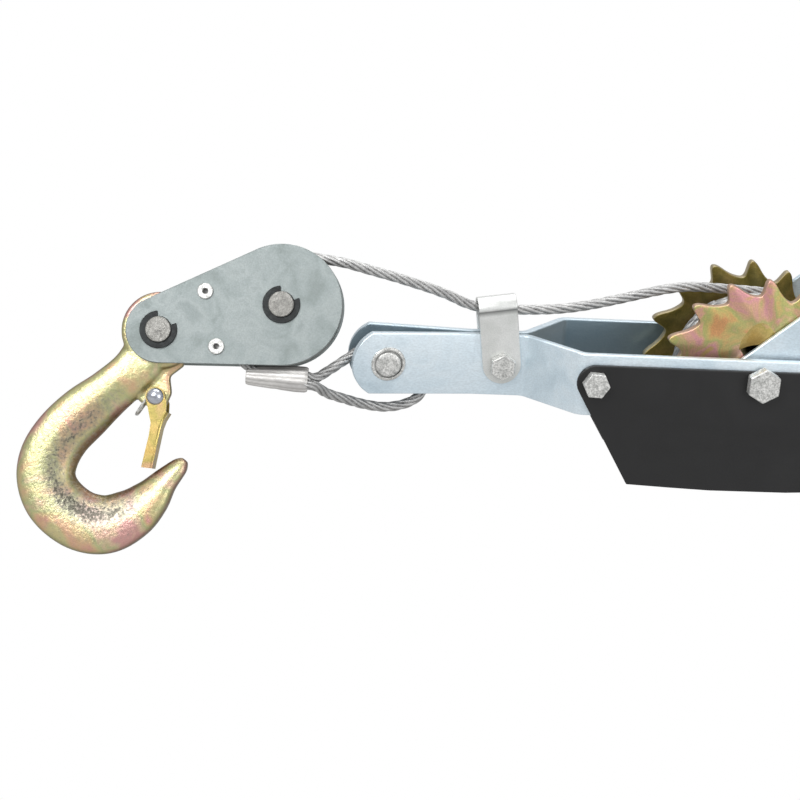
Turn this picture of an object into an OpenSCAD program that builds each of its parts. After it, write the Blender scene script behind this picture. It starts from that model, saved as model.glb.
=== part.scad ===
// Hand-operated cable puller (come-along winch) with a double line, a pulley
// block and two ratchet wheels. Lengths are millimetres, angles are degrees.
// The pieces are designed about the drum axle, with +X towards the anchor,
// +Y across the frame and +Z up, and at_anchor() then moves the origin to the
// middle of the anchor hook's bowl, where the winch is held.

/* [Frame] */
// Thickness of each frame bar
bar_t = 4.5; // [3:0.5:6]
// Height of each frame bar
bar_h = 35; // [30:1:44]
// How far the bars' centre line lies below the drum axle
bar_drop = 5.5; // [0:0.5:7]
// Half the length of the straight part beside the drum
bay_half = 100; // [98:1:120]
// Length of each joggle along the frame
joggle = 26.5; // [20:0.5:35]
// Length of the front arm, from the joggle's end to the front pin
front_arm = 77.5; // [64:0.5:120]
// Length of the rear arm, from the joggle's end to the rear pin
rear_arm = 45.5; // [38:0.5:80]
// Space between the bars at the front pin
fork_gap = 11; // [11:0.5:14]
// Space between the bars at the cable clip
nip_gap = 1; // [0.5:0.5:3]
// Bar end beyond each pin, which is also the radius of the bar's end
bar_end = 20; // [18:0.5:24]
// Radius of the front and rear pins
pin_r = 7.75; // [6:0.25:9]

/* [Guards] */
// Thickness of each guard plate
guard_t = 2.5; // [1.5:0.5:4]
// Distance of the guard bolts back from the ends of the straight part
bolt_back = 6.5; // [6.5:0.5:10]
// How far the guards reach below the drum axle
guard_depth = 64; // [60:0.5:80]

/* [Ratchet wheels and drum] */
// Radius of the tooth tips
tip_r = 54.5; // [52:0.5:56]
// Number of teeth
teeth = 15; // [10:1:20]
// Thickness of each ratchet wheel
wheel_t = 5; // [4:0.5:6]
// Distance between the middles of the two wheels
wheel_gap = 38; // [34:0.5:46]
// Radius of the drum barrel
barrel_r = 32.5; // [28:0.5:34]
// Wall of the drum barrel
barrel_wall = 3; // [2:0.5:5]
// Radius of the axle bolt, an M10
axle_r = 5; // [4:0.5:6]
// Thickness of the washers between the handle's plates and the bars
washer_t = 3.7; // [2:0.1:6]

/* [Cable] */
// Diameter of the wire rope
cable_d = 5.5; // [4:0.5:5.5]
// Radius of the rope's centre line on the pulley
sheave_r = 29.5; // [28:0.5:31]

/* [Pulley block] */
// Hook pin to sheave pin
block_len = 68; // [60:1:80]
// Radius of the plates about the sheave pin
block_big_r = 33; // [33:0.5:38]
// Radius of the plates about the hook pin
block_small_r = 18; // [16:0.5:20]
// Thickness of each block plate
block_t = 3; // [2:0.5:4]
// Space between the block plates
block_gap = 15; // [14:0.5:18]
// Radius of the sheave pin and of the hook pin
block_pin_r = 7; // [6:0.25:8]

/* [Hooks] */
// Thickness of a hook in its bowl
hook_t = 17; // [14:0.5:20]
// Radius of a hook's eye
hook_eye_r = 21; // [19:0.5:22]

/* [Handle] */
// Angle of the handle above the frame at rest
handle_angle = 40; // [30:1:50]
// Width of the handle's side plates
handle_w = 28; // [24:1:34]
// Thickness of the handle's side plates
handle_t = 3; // [2:0.5:3]
// Radius of the handle tube
tube_r = 12.5; // [11:0.5:14]
// Drum axle to the end of the handle
handle_len = 410; // [350:5:500]

/* [Hidden] */
$fn = 64;

zinc = "#c9d8de";
dull_zinc = "#aab7ba";
yellow_zinc = "#d8bc78";
satin_black = "#2b2b2b";
bright = "#d5d5d2";
eps = 0.01;

// Clearances: a running fit on a pin, a gap between moving faces, a bolt in its hole
running = 0.05;
gap = 0.3;
bolt_gap = 0.2;

// Stack of plates outwards from the middle plane
wheel_in = (wheel_gap - wheel_t) / 2;
wheel_out = (wheel_gap + wheel_t) / 2;
handle_in = wheel_out + 1;
handle_out = handle_in + handle_t;
bay_half_w = handle_out + gap + washer_t;
bar_out = bay_half_w + bar_t;
guard_out = bar_out + guard_t;
bend_x = bay_half + joggle;
nip_x = bend_x + 30;
front_reach = bend_x + front_arm;
rear_reach = bend_x + rear_arm;
rear_flare_x = rear_reach - hook_eye_r - 1.5;
rear_nip_x = rear_flare_x - 13;
bar_top = bar_h / 2 - bar_drop;
bar_bottom = bar_top - bar_h;
fork_slope = (fork_gap - nip_gap) / 2 / (front_reach - nip_x);
fork_tilt = atan(fork_slope);

// Fasteners: M8 and M10 hexagon sizes
m8_r = 4;
m8_corner = 13 / 2 / cos(30);
m8_head = 5.3;
m8_nut = 6.5;
m10_corner = 17 / 2 / cos(30);
m10_head = 6.4;
m10_nut = 8;
guard_bolt_x = bay_half - bolt_back;
guard_bolt_z = -3.5;

// Cable clip: the bolt sits on the bars' centre line and the strip leans forward
clip_x = -bend_x - 13.5;
clip_z = -5;
clip_w = 21.5;
clip_t = 1.5;
clip_lean = 9;
clip_arch = 31.5;
clip_half = nip_gap / 2 + bar_t;

// Tooth outline as angle past the tooth's leading corner and radius; the steep face comes last
tooth = [
    [0, -1.6], [0.9, -0.3], [2.2, 0], [4.2, -0.9], [6.8, -3.2], [9.5, -5.7], [13, -7.9], [17, -9.3],
    [20, -9.6], [21.6, -8.8], [22.6, -7.2], [23.4, -4.2]
];
tooth_phase = 113.8;
hub_r = axle_r + 3;
window_r = hub_r + 11;

// The block hangs turned, leaned and tilted on the slack cable, clear of the bars' front ends
block_turn = -11.4;
block_lean = -21.4;
block_tilt = -17.2;
block_clear = 6;
block_at = [-front_reach - bar_end - block_big_r - block_clear, 0, 22];
rim_r = sheave_r + cable_d / 2;
circlip_t = 1.2;
circlip_r = block_pin_r + 3.2;
clip_in = block_gap / 2 + block_t;
pin_half = clip_in + circlip_t + 1.6;
spacer_x = -rim_r - 6.75;
spacer_z = 15.3;
spacer_r = 4;

// Hooks: the pull runs along -X from the eye; stations along the bar are x, z and half width
hook_reach = 80;
hook_path = [
    [-10, 1, 13.5], [-26, 5, 12.5], [-41.5, 12.5, 13], [-57, 20.5, 15], [-72.5, 27, 15.5],
    [-87, 29, 16], [-99, 25.5, 16], [-108, 15.5, 16.5], [-112, 0, 16.5], [-108.5, -14, 16],
    [-98, -24.5, 14], [-86.5, -30.5, 11], [-75, -34, 7.5], [-65, -38, 5.2], [-59.5, -40, 3.6]
];
hook_thin_r = max(block_small_r + 6, bar_end + 4);
hook_bore = block_pin_r + running;
hook_hang = 55.7;
lug_half = 3;
lug = [[-8, -17], [-12.5, -19.5], [-21, -14.5], [-29, -19], [-37, -19], [-41, -13], [-40, -4], [-20, 0]];
latch_x = -34;
latch_z = -12;
latch_t = 1.4;
latch_half = 7;
latch_len = 39;
latch_web = [[0, -5.2], [-3, -6.6], [-8, -6.8], [-12.5, -4.6], [-17, -3.3], [-latch_len, -0.6]];
latch_drop = 18;
rivet_r = 2.5;
wire_r = 0.75;

// Handle
tube_wall = 2;
fork_end = 92;
socket_start = 125;
socket_end = 178;
grip_start = handle_len - 125;
grip_r = tube_r + 3;
rivet_x1 = socket_start + 12;
rivet_x2 = socket_end - 12;
rivet_hole = 4;

// Pawls: pivots, arm lengths and the angle of each arm at rest, riding on the tooth tips
pawl_tube_r = 7;
pawl_clear = 0.8;
drive_pivot = [78, 2.5];
drive_arm = 35.5;
drive_rest = atan2(drive_pivot[1], drive_pivot[0]) - ride_angle(norm(drive_pivot), drive_arm);
hold_pivot = [guard_bolt_x, guard_bolt_z];
hold_arm = guard_bolt_x - 42.3;
hold_rest = atan2(hold_pivot[1], hold_pivot[0]) - ride_angle(norm(hold_pivot), hold_arm);

// Wire rope: layers on the barrel and the run from the drum to the block
layer1 = barrel_r + cable_d + 0.1;
layer2 = layer1 + cable_d;
cable_y = 3;
run_points = [
    [6, 3, 40.8], [-5, 3, 41.4], [-16, 3, 41.8], [-27, 3, 42.1], [-37, 3, 42], [-48, 2.5, 40.6],
    [-58, 2, 38.4], [-69, 1.5, 35.6], [-80, 1, 32.8], [-91, 0.5, 30.2], [-102, 0, 28.1], [-113, 0, 26.6],
    [-124, 0, 25.8], [-135, 0, 25.4], [-145, 0, 25.5], [-155, 0, 26.2], [-163, 0, 28.2],
    [-172, 0, 32], [-182, 0, 35.4], [-192, 0, 38.2], [-202, 0.5, 40.8], [-212, 1.3, 43],
    [-222, 2.6, 45.1], [-232, 4.2, 46.9]
];
// Angles on the sheave where the rope touches down and lifts off, seen in the block's plane
wrap_from = 58;
wrap_to = 182;
tail_in_block = [
    [-30.2, 0, -9], [-30.8, 0, -17], [-30.4, 0, -24], [-28.4, 0, -29.5], [-24.2, 0, -32.6],
    [-18, 0, -34], [-8, 0, -36.2], [2, 0, -38.6]
];
// The rope's eye, measured from the middle of the front pin
eye_points = [
    [-40.5, -15, -8.1], [-33, -10.6, -5.3], [-25, -5.2, -1.5], [-17, -1.6, 3.1], [-9.5, 0.4, 8.1],
    [-2, 0.8, 10.9], [5.5, 0.6, 10.1], [13, 0.2, 5.7], [18.5, 0, -1], [21.8, 0, -8.5], [22.6, 0, -15.5],
    [19.5, -0.5, -21.9], [12, -1.5, -26.5], [1, -3, -28.9], [-11, -5.4, -27.9], [-23, -9, -24.3],
    [-34, -13.6, -20.1]
];
eye_back_in_block = [[8, 0, -45.9], [0, 0, -44], [-7, 0, -42.4]];

// The rope's tail and its ferrule keep their distance from a larger or smaller sheave
tail_shift = (29.5 - sheave_r) * [1, 0, 1];
ferrule_start = [-27, 0, -33.1];
ferrule_end = [5.5, 0, -42.2];

// ---------------------------------------------------------------- helpers

function unit(v) = v / norm(v);
function rot_x(a, p) = [p[0], p[1] * cos(a) - p[2] * sin(a), p[1] * sin(a) + p[2] * cos(a)];
function rot_y(a, p) = [p[0] * cos(a) + p[2] * sin(a), p[1], -p[0] * sin(a) + p[2] * cos(a)];
function rot_z(a, p) = [p[0] * cos(a) - p[1] * sin(a), p[0] * sin(a) + p[1] * cos(a), p[2]];

// Point of the block's own frame in the design frame
function from_block(p) =
    block_at + rot_z(block_turn, rot_x(block_lean, rot_y(block_tilt, p)));

// Angle past the pivot's own direction at which an arm's tip clears the tooth tips
function ride_angle(pivot_r, arm) =
    acos((pow(tip_r + pawl_clear, 2) - pivot_r * pivot_r - arm * arm) / (2 * pivot_r * arm));

// Catmull-Rom point between b and c
function blend4(a, b, c, d, t) =
    0.5 * (2 * b + (c - a) * t + (2 * a - 5 * b + 4 * c - d) * t * t + (3 * b - a - 3 * c + d) * t * t * t);
function at(list, i) = list[min(max(i, 0), len(list) - 1)];
function smooth(list, steps) = [
    for (i = [0:len(list) - 2], k = [0:steps - 1])
        blend4(at(list, i - 1), list[i], list[i + 1], at(list, i + 2), k / steps),
    list[len(list) - 1]
];

// Line moved sideways by d, with mitred corners
function normal(a, b) = let (u = unit(b - a)) [u[1], -u[0]];
function moved(path, d) = [
    for (i = [0:len(path) - 1])
        let (
            n1 = i > 0 ? normal(path[i - 1], path[i]) : normal(path[0], path[1]),
            n2 = i < len(path) - 1 ? normal(path[i], path[i + 1]) : n1
        ) path[i] + (n1 + n2) * d / (1 + n1 * n2)
];
function turned(list) = [for (i = [len(list) - 1:-1:0]) list[i]];

module at_anchor() translate([-rear_reach - hook_reach, 0, bar_drop]) children();

module in_block() at_anchor() translate(block_at) rotate([0, 0, block_turn]) rotate([block_lean, 0, 0])
    rotate([0, block_tilt, 0]) children();

module in_load_hook() in_block() translate([-block_len, 0, 0]) rotate([0, -hook_hang, 0]) children();

module in_anchor_hook() at_anchor() translate([rear_reach, 0, -bar_drop]) rotate([0, 0, 180]) children();

module in_handle() at_anchor() rotate([0, -handle_angle, 0]) children();

// Rod along Y from y0 to y1, standing at x, z
module rod(r, y0, y1, x = 0, z = 0)
    translate([x, y0, z]) rotate([-90, 0, 0]) cylinder(r = r, h = y1 - y0);

// Flat outline in the X-Z plane, thickened from y0 to y1
module slab(y0, y1) translate([0, y1, 0]) rotate([90, 0, 0]) linear_extrude(height = y1 - y0) children();

// Hexagon along Y, with its corners at the given angle
module hex(corner, y0, y1, x, z, turn = 0)
    translate([x, y0, z]) rotate([-90, 0, 0]) rotate([0, 0, turn]) cylinder(r = corner, h = y1 - y0, $fn = 6);

// Round tube along a list of points, closed at both ends; the rings are carried along without twist
function tangent(path, i) = unit(path[min(i + 1, len(path) - 1)] - path[max(i - 1, 0)]);
function squared(v, t) = unit(v - (v * t) * t);
module sweep(path, r, sides) {
    last = len(path) - 1;
    across = [
        for (i = 0, a = squared([0, 1, 0], tangent(path, 0)); i <= last;
            i = i + 1, a = squared(a, tangent(path, min(i, last)))) a
    ];
    rings = [
        for (i = [0:last], k = [0:sides - 1])
            let (a = 360 * k / sides, up = cross(across[i], tangent(path, i)))
                path[i] + r * (cos(a) * across[i] + sin(a) * up)
    ];
    walls = [
        for (i = [0:last - 1], k = [0:sides - 1])
            let (a = i * sides, b = (k + 1) % sides) [a + k, a + sides + k, a + sides + b, a + b]
    ];
    polyhedron(
        rings,
        concat([[for (k = [0:sides - 1]) k]], walls, [[for (k = [sides - 1:-1:0]) last * sides + k]]),
        convexity = 8
    );
}

// ---------------------------------------------------------------- frame

// Inner face of the near bar seen from above, front to rear
near_path = [
    [-front_reach - bar_end - 2, -nip_gap / 2 - fork_slope * (front_reach + bar_end + 2 - nip_x)],
    [-nip_x, -nip_gap / 2], [-bend_x, -nip_gap / 2], [-bay_half, -bay_half_w],
    [bay_half, -bay_half_w], [bend_x, -nip_gap / 2], [rear_nip_x, -nip_gap / 2],
    [rear_flare_x, -fork_gap / 2], [rear_reach + bar_end + 2, -fork_gap / 2]
];

module bar_outline() {
    intersection() {
        union() {
            translate([-front_reach, -bar_drop]) circle(r = bar_end, $fn = 96);
            translate([rear_reach, -bar_drop]) circle(r = bar_end, $fn = 96);
            translate([-front_reach, -bar_drop - bar_end]) square([front_reach + rear_reach, 2 * bar_end]);
        }
        translate([-front_reach - bar_end - 1, bar_bottom])
            square([front_reach + rear_reach + 2 * bar_end + 2, bar_h]);
    }
}

module near_bar_shape() {
    difference() {
        intersection() {
            translate([0, 0, bar_bottom - 1]) linear_extrude(height = bar_h + 2)
                polygon(concat(near_path, turned(moved(near_path, bar_t))));
            slab(-bar_out - 1, 1) bar_outline();
        }
        for (x = [-front_reach, rear_reach]) rod(pin_r + running, -bar_out - 1, 1, x, -bar_drop);
        rod(m8_r + bolt_gap, -bar_out - 1, 1, clip_x, clip_z);
        for (x = [-guard_bolt_x, guard_bolt_x])
            rod(m8_r + bolt_gap, -bar_out - 1, -bay_half_w + 1, x, guard_bolt_z);
        rod(axle_r + running, -bar_out - 1, -bay_half_w + 1);
    }
}

module near_bar() color(zinc) at_anchor() near_bar_shape();

module far_bar() color(zinc) at_anchor() mirror([0, 1, 0]) near_bar_shape();

module guard_shape(y0) {
    difference() {
        slab(y0, y0 + guard_t) hull() {
            for (s = [-1, 1]) {
                translate([s * guard_bolt_x, guard_bolt_z]) circle(r = 10, $fn = 32);
                translate([s * (guard_bolt_x - 24.5), 3.2 - guard_depth]) circle(r = 1, $fn = 12);
                translate([s * 46, 4 - guard_depth]) circle(r = 3, $fn = 16);
                translate([s * 22, 3 - guard_depth]) circle(r = 3, $fn = 16);
            }
        }
        for (x = [-guard_bolt_x, guard_bolt_x])
            rod(m8_r + bolt_gap, y0 - 1, y0 + guard_t + 1, x, guard_bolt_z);
        rod(axle_r + running, y0 - 1, y0 + guard_t + 1);
    }
}

module near_guard() color(satin_black) at_anchor() guard_shape(-guard_out);

module far_guard() color(satin_black) at_anchor() guard_shape(bar_out);

// Riveted pin whose swaged rims follow the slope of the bars
module riveted_pin(x, tilt) {
    face = fork_gap / 2 + bar_t / cos(tilt);
    translate([x, 0, -bar_drop]) {
        rod(pin_r, -face - 2.2, face + 2.2);
        for (s = [0, 1]) mirror([0, s, 0]) rotate([0, 0, -tilt]) rod(pin_r + 1.9, face, face + 1);
    }
}

module front_pin() color(bright) at_anchor() riveted_pin(-front_reach, fork_tilt);

module rear_pin() color(bright) at_anchor() riveted_pin(rear_reach, 0);

// Strip bent over the cable like a staple, with rounded feet about the bolt
module cable_clip() color(bright) at_anchor() translate([clip_x, 0, clip_z]) rotate([0, -clip_lean, 0]) {
    difference() {
        for (s = [0, 1]) mirror([0, s, 0]) slab(clip_half, clip_half + clip_t)
            union() {
                circle(r = clip_w / 2);
                translate([-clip_w / 2, 0]) square([clip_w, clip_arch]);
            }
        rod(m8_r + bolt_gap, -clip_half - 3, clip_half + 3);
    }
    translate([0, 0, clip_arch]) rotate([0, 90, 0]) translate([0, 0, -clip_w / 2])
        linear_extrude(height = clip_w) intersection() {
            difference() {
                circle(r = clip_half + clip_t);
                circle(r = clip_half);
            }
            translate([-clip_half - 5, -clip_half - 5]) square([clip_half + 5, 2 * clip_half + 10]);
        }
}

module clip_bolt() color(bright) at_anchor() {
    head = clip_half + clip_t;
    hex(m8_corner, -head - m8_head, -head, clip_x, clip_z, 30);
    rod(m8_r, -head, head + m8_nut + 2, clip_x, clip_z);
}

module clip_nut() color(bright) at_anchor() difference() {
    head = clip_half + clip_t;
    hex(m8_corner, head, head + m8_nut, clip_x, clip_z, 30);
    rod(m8_r + running, head - 1, head + m8_nut + 1, clip_x, clip_z);
}

// Short bolts that hold the guards at the front, screwed into the bars from each side
module guard_bolts() color(bright) at_anchor() for (s = [0, 1]) mirror([0, s, 0]) {
    hex(m8_corner, -guard_out - m8_head, -guard_out, -guard_bolt_x, guard_bolt_z, 3);
    rod(m8_r, -guard_out, -bay_half_w - gap, -guard_bolt_x, guard_bolt_z);
}

module axle_bolt() color(bright) at_anchor() {
    hex(m10_corner, -guard_out - m10_head, -guard_out, 0, 0, 30);
    rod(axle_r, -guard_out, guard_out + m10_nut + 3);
}

module axle_nut() color(bright) at_anchor() difference() {
    hex(m10_corner, guard_out, guard_out + m10_nut, 0, 0, 30);
    rod(axle_r + running, guard_out - 1, guard_out + m10_nut + 1);
}

// Spacing washers between the bars and the handle's side plates
module axle_washers() color(zinc) at_anchor() for (s = [0, 1]) mirror([0, s, 0]) difference() {
    rod(10, -bay_half_w, -handle_out - gap);
    rod(axle_r + running, -bay_half_w - 1, -handle_out + 1);
}

// Long rear guard bolt, which is also the pivot of the holding pawl
module pawl_bolt() color(bright) at_anchor() {
    hex(m8_corner, -guard_out - m8_head, -guard_out, guard_bolt_x, guard_bolt_z, 3);
    rod(m8_r, -guard_out, guard_out + m8_nut + 2, guard_bolt_x, guard_bolt_z);
}

module pawl_nut() color(bright) at_anchor() difference() {
    hex(m8_corner, guard_out, guard_out + m8_nut, guard_bolt_x, guard_bolt_z);
    rod(m8_r + running, guard_out - 1, guard_out + m8_nut + 1, guard_bolt_x, guard_bolt_z);
}

// Torsion spring round a pawl's tube, with one leg left free
module coil_spring(turns) {
    coil_r = pawl_tube_r + gap + 1.2;
    wire = 0.9;
    coil = [
        for (i = [0:turns * 12])
            [coil_r * cos(i * 30), (i / 12 - turns / 2) * 2.3 * wire, coil_r * sin(i * 30)]
    ];
    end = coil[len(coil) - 1];
    sweep(concat(coil, [end + [0, 0, 7], end + [0, 0, 14]]), wire, 6);
}

module holding_spring() color(bright) at_anchor()
    translate([hold_pivot[0], 0, hold_pivot[1]]) rotate([0, 20, 0]) translate([0, 10, 0]) coil_spring(3);

// ---------------------------------------------------------------- pawls

// Pawl in its own frame: the arm runs along +X and its tip faces -Z
module pawl(arm, tube_half, tail) {
    difference() {
        union() {
            rod(pawl_tube_r, -tube_half, tube_half);
            for (s = [-1, 1]) {
                y = s * wheel_gap / 2;
                slab(y - wheel_t / 2 - 0.2, y + wheel_t / 2 + 0.2) polygon([
                    [-2, -pawl_tube_r + 0.3], [arm * 0.55, -3.2], [arm - 4, 0.2], [arm - 0.4, 0], [arm, 0.6],
                    [arm - 1.5, 5], [arm * 0.5, 8], [-2, pawl_tube_r - 0.3]
                ]);
            }
            slab(-12, 4) polygon([
                [-tail, 3], [-tail, 6], [-pawl_tube_r, 5.5], [0, pawl_tube_r - 0.5], [0, 0], [-pawl_tube_r, 1]
            ]);
        }
        rod(m8_r + running, -tube_half - 1, tube_half + 1);
    }
}

module holding_pawl() color(yellow_zinc) at_anchor() translate([hold_pivot[0], 0, hold_pivot[1]])
    rotate([0, -hold_rest, 0]) pawl(hold_arm, bay_half_w - 1.2, 18);

module drive_pawl() color(yellow_zinc) in_handle() translate([drive_pivot[0], 0, drive_pivot[1]])
    rotate([0, -drive_rest, 0]) pawl(drive_arm, handle_in - gap, 24);

// ---------------------------------------------------------------- cable

wrap_points = [
    for (a = [wrap_from:(wrap_to - wrap_from) / 8:wrap_to + 1])
        from_block([sheave_r * cos(a), 0, sheave_r * sin(a)])
];
cable_route = concat(
    run_points, wrap_points, [for (p = tail_in_block) from_block(p + tail_shift)],
    [for (p = eye_points) p + [-front_reach, 0, -bar_drop]],
    [for (p = eye_back_in_block) from_block(p + tail_shift)]
);

module cable() color("silver") at_anchor() sweep(cable_route, cable_d / 2, 8);

// Oval sleeve pressed on the two parts of the rope, slimmer at its mouth
module cable_ferrule() color(bright) in_block() {
    fall = atan2(ferrule_end[2] - ferrule_start[2], ferrule_end[0] - ferrule_start[0]);
    length = norm(ferrule_end - ferrule_start);
    translate(ferrule_start + tail_shift) rotate([0, -fall, 0]) hull() for (s = [-1, 1]) {
        translate([0, 0, s * 0.6]) rotate([0, 90, 0]) cylinder(r = 3.7, h = eps, $fn = 24);
        translate([length, 0, s * 3.1]) rotate([0, 90, 0]) cylinder(r = 3.9, h = eps, $fn = 24);
    }
}

// ---------------------------------------------------------------- drum

module ratchet_shape(y0) {
    difference() {
        slab(y0, y0 + wheel_t) polygon([
            for (n = [0:teeth - 1], p = tooth)
                let (a = tooth_phase - n * 360 / teeth - p[0] * 15 / teeth, r = tip_r + p[1])
                    [r * cos(a), r * sin(a)]
        ]);
        rod(hub_r + running, y0 - 1, y0 + wheel_t + 1);
        for (a = [90, 210, 330]) slab(y0 - 1, y0 + wheel_t + 1) rotate(a) intersection() {
            difference() {
                circle(r = window_r);
                circle(r = hub_r + 2.5);
            }
            polygon([[0, 0], for (s = [1, -1]) 2 * window_r * [cos(36), s * sin(36)]]);
        }
    }
}

module near_ratchet() color(yellow_zinc) at_anchor() ratchet_shape(-wheel_out);

module far_ratchet() color(yellow_zinc) at_anchor() ratchet_shape(wheel_in);

module drum_barrel() color(yellow_zinc) at_anchor() difference() {
    rod(barrel_r, -wheel_in, wheel_in);
    rod(barrel_r - barrel_wall, -wheel_in - 1, wheel_in + 1);
}

module drum_hub() color(yellow_zinc) at_anchor() difference() {
    rod(hub_r, -handle_in + gap, handle_in - gap);
    rod(axle_r + running, -handle_in, handle_in);
}

// Rope stored on the drum: one full layer, and a second that stops beside the running rope
module cable_winding() color("silver") at_anchor() rotate([-90, 0, 0]) rotate_extrude($fn = 96) {
    translate([barrel_r + 0.1, -wheel_in + 0.2]) square([layer1 - barrel_r - 0.1, 2 * wheel_in - 0.4]);
    translate([layer1 - 1, -wheel_in + 0.2])
        square([layer2 - layer1 + 1, wheel_in + cable_y - cable_d / 2 - 0.5]);
}

// ---------------------------------------------------------------- handle

// Inner face of the near side plate in the handle's frame, from the axle out
plate_path = [
    [-handle_w, -handle_in], [fork_end, -handle_in],
    [socket_start, -tube_r - running], [socket_end, -tube_r - running]
];

module side_plate() {
    difference() {
        intersection() {
            translate([0, 0, -handle_w]) linear_extrude(height = 2 * handle_w)
                polygon(concat(plate_path, turned(moved(plate_path, handle_t))));
            slab(-handle_out - 1, 0) union() {
                circle(r = handle_w / 2);
                translate([0, -handle_w / 2]) square([socket_end - handle_w / 2, handle_w]);
                translate([socket_end - handle_w / 2, 0]) circle(r = handle_w / 2);
            }
        }
        rod(axle_r + running, -handle_out - 1, -handle_in + 1);
        rod(m8_r + running, -handle_out - 1, -handle_in + 1, drive_pivot[0], drive_pivot[1]);
        for (x = [rivet_x1, rivet_x2]) rod(rivet_hole, -handle_out, 0, x, 0);
    }
}

module handle_near_plate() color(zinc) in_handle() side_plate();

module handle_far_plate() color(zinc) in_handle() mirror([0, 1, 0]) side_plate();

module handle_tube() color(zinc) in_handle() difference() {
    translate([socket_start - 4, 0, 0]) rotate([0, 90, 0])
        cylinder(r = tube_r, h = handle_len - socket_start);
    translate([socket_start - 5, 0, 0]) rotate([0, 90, 0])
        cylinder(r = tube_r - tube_wall, h = handle_len);
    for (x = [rivet_x1, rivet_x2]) rod(rivet_hole, -tube_r - 1, tube_r + 1, x, 0);
}

module handle_rivets() color(bright) in_handle() for (x = [rivet_x1, rivet_x2]) {
    half = tube_r + running + handle_t;
    rod(rivet_hole - running, -half - 1, half + 1, x, 0);
    for (s = [0, 1]) mirror([0, s, 0]) rod(7, half, half + 2.5, x, 0);
}

module handle_grip() color("#202020") in_handle() difference() {
    union() {
        translate([grip_start, 0, 0]) rotate([0, 90, 0]) cylinder(r = grip_r, h = handle_len - grip_start);
        translate([grip_start, 0, 0]) rotate([0, 90, 0]) cylinder(r = grip_r + 2.5, h = 5);
    }
    translate([grip_start - 1, 0, 0]) rotate([0, 90, 0])
        cylinder(r = tube_r + running, h = handle_len - grip_start - 3);
}

module drive_pawl_pin() color(bright) in_handle() {
    rod(m8_r, -handle_out - 1.2, handle_out + 1.2, drive_pivot[0], drive_pivot[1]);
    for (s = [0, 1]) mirror([0, s, 0])
        rod(6, handle_out, handle_out + 1.8, drive_pivot[0], drive_pivot[1]);
}

module drive_spring() color(bright) in_handle()
    translate([drive_pivot[0], 10, drive_pivot[1]]) coil_spring(3);

// ---------------------------------------------------------------- block

module block_plate(y0) {
    difference() {
        slab(y0, y0 + block_t) hull() {
            circle(r = block_big_r, $fn = 72);
            translate([-block_len, 0]) circle(r = block_small_r, $fn = 48);
        }
        for (x = [0, -block_len]) rod(block_pin_r + running, y0 - 1, y0 + block_t + 1, x, 0);
        for (s = [-1, 1]) rod(rivet_r + running, y0 - 1, y0 + block_t + 1, spacer_x, s * spacer_z);
    }
}

module block_near_plate() color(dull_zinc) in_block() block_plate(-block_gap / 2 - block_t);

module block_far_plate() color(dull_zinc) in_block() block_plate(block_gap / 2);

// Pin with a groove for a retaining ring at each end
module grooved_pin(x) difference() {
    rod(block_pin_r, -pin_half, pin_half, x, 0);
    for (s = [0, 1]) mirror([0, s, 0]) difference() {
        rod(block_pin_r + 1, clip_in, clip_in + circlip_t + 0.1, x, 0);
        rod(block_pin_r - 0.8, clip_in - 1, clip_in + circlip_t + 1, x, 0);
    }
}

module sheave_pin() color("#a8a6a2") in_block() grooved_pin(0);

module hook_pin() color("#a8a6a2") in_block() grooved_pin(-block_len);

// Open retaining rings with the gap at the upper right
module block_circlips() color("#2e3232") in_block() for (x = [0, -block_len], s = [0, 1]) mirror([0, s, 0])
    slab(clip_in + 0.05, clip_in + circlip_t) translate([x, 0]) difference() {
        circle(r = circlip_r);
        circle(r = block_pin_r - 0.7);
        polygon([[0, 0], [20, 3], [20, 20], [3, 20]]);
    }

module block_spacers() color(bright) in_block() for (s = [-1, 1]) difference() {
    rod(spacer_r, -block_gap / 2, block_gap / 2, spacer_x, s * spacer_z);
    rod(rivet_r + running, -block_gap, block_gap, spacer_x, s * spacer_z);
}

module block_rivets() color(bright) in_block() for (s = [-1, 1]) difference() {
    union() {
        rod(rivet_r, -clip_in - 0.5, clip_in + 0.5, spacer_x, s * spacer_z);
        for (m = [0, 1]) mirror([0, m, 0]) rod(4.3, clip_in, clip_in + 1.3, spacer_x, s * spacer_z);
    }
    rod(1.5, -block_gap, block_gap, spacer_x, s * spacer_z);
}

// Grooved wheel that turns on the sheave pin
module sheave() color("#8e9296") in_block() rotate([-90, 0, 0]) rotate_extrude($fn = 96) {
    half = block_gap / 2 - gap;
    groove = cable_d / 2 + gap;
    difference() {
        translate([block_pin_r + running, -half]) square([rim_r - block_pin_r - running, 2 * half]);
        translate([sheave_r, 0]) circle(r = groove, $fn = 32);
        translate([sheave_r, -groove]) square([rim_r, 2 * groove]);
    }
}

// ---------------------------------------------------------------- hooks

// Outline of the bent bar, from the eye round the bowl to the tip
module hook_outline() {
    line = smooth(hook_path, 4);
    side = [for (p = line) [p[0], p[1]]];
    last = len(line) - 1;
    up = [
        for (i = [0:last])
            let (t = unit(side[min(i + 1, last)] - side[max(i - 1, 0)])) [-t[1], t[0]]
    ];
    heading = atan2(side[last][1] - side[last - 1][1], side[last][0] - side[last - 1][0]);
    polygon(concat(
        [for (i = [0:last]) side[i] + up[i] * line[i][2]],
        [for (a = [75:-30:-75]) side[last] + line[last][2] * [cos(heading + a), sin(heading + a)]],
        [for (i = [last:-1:0]) side[i] - up[i] * line[i][2]]
    ));
}

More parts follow.
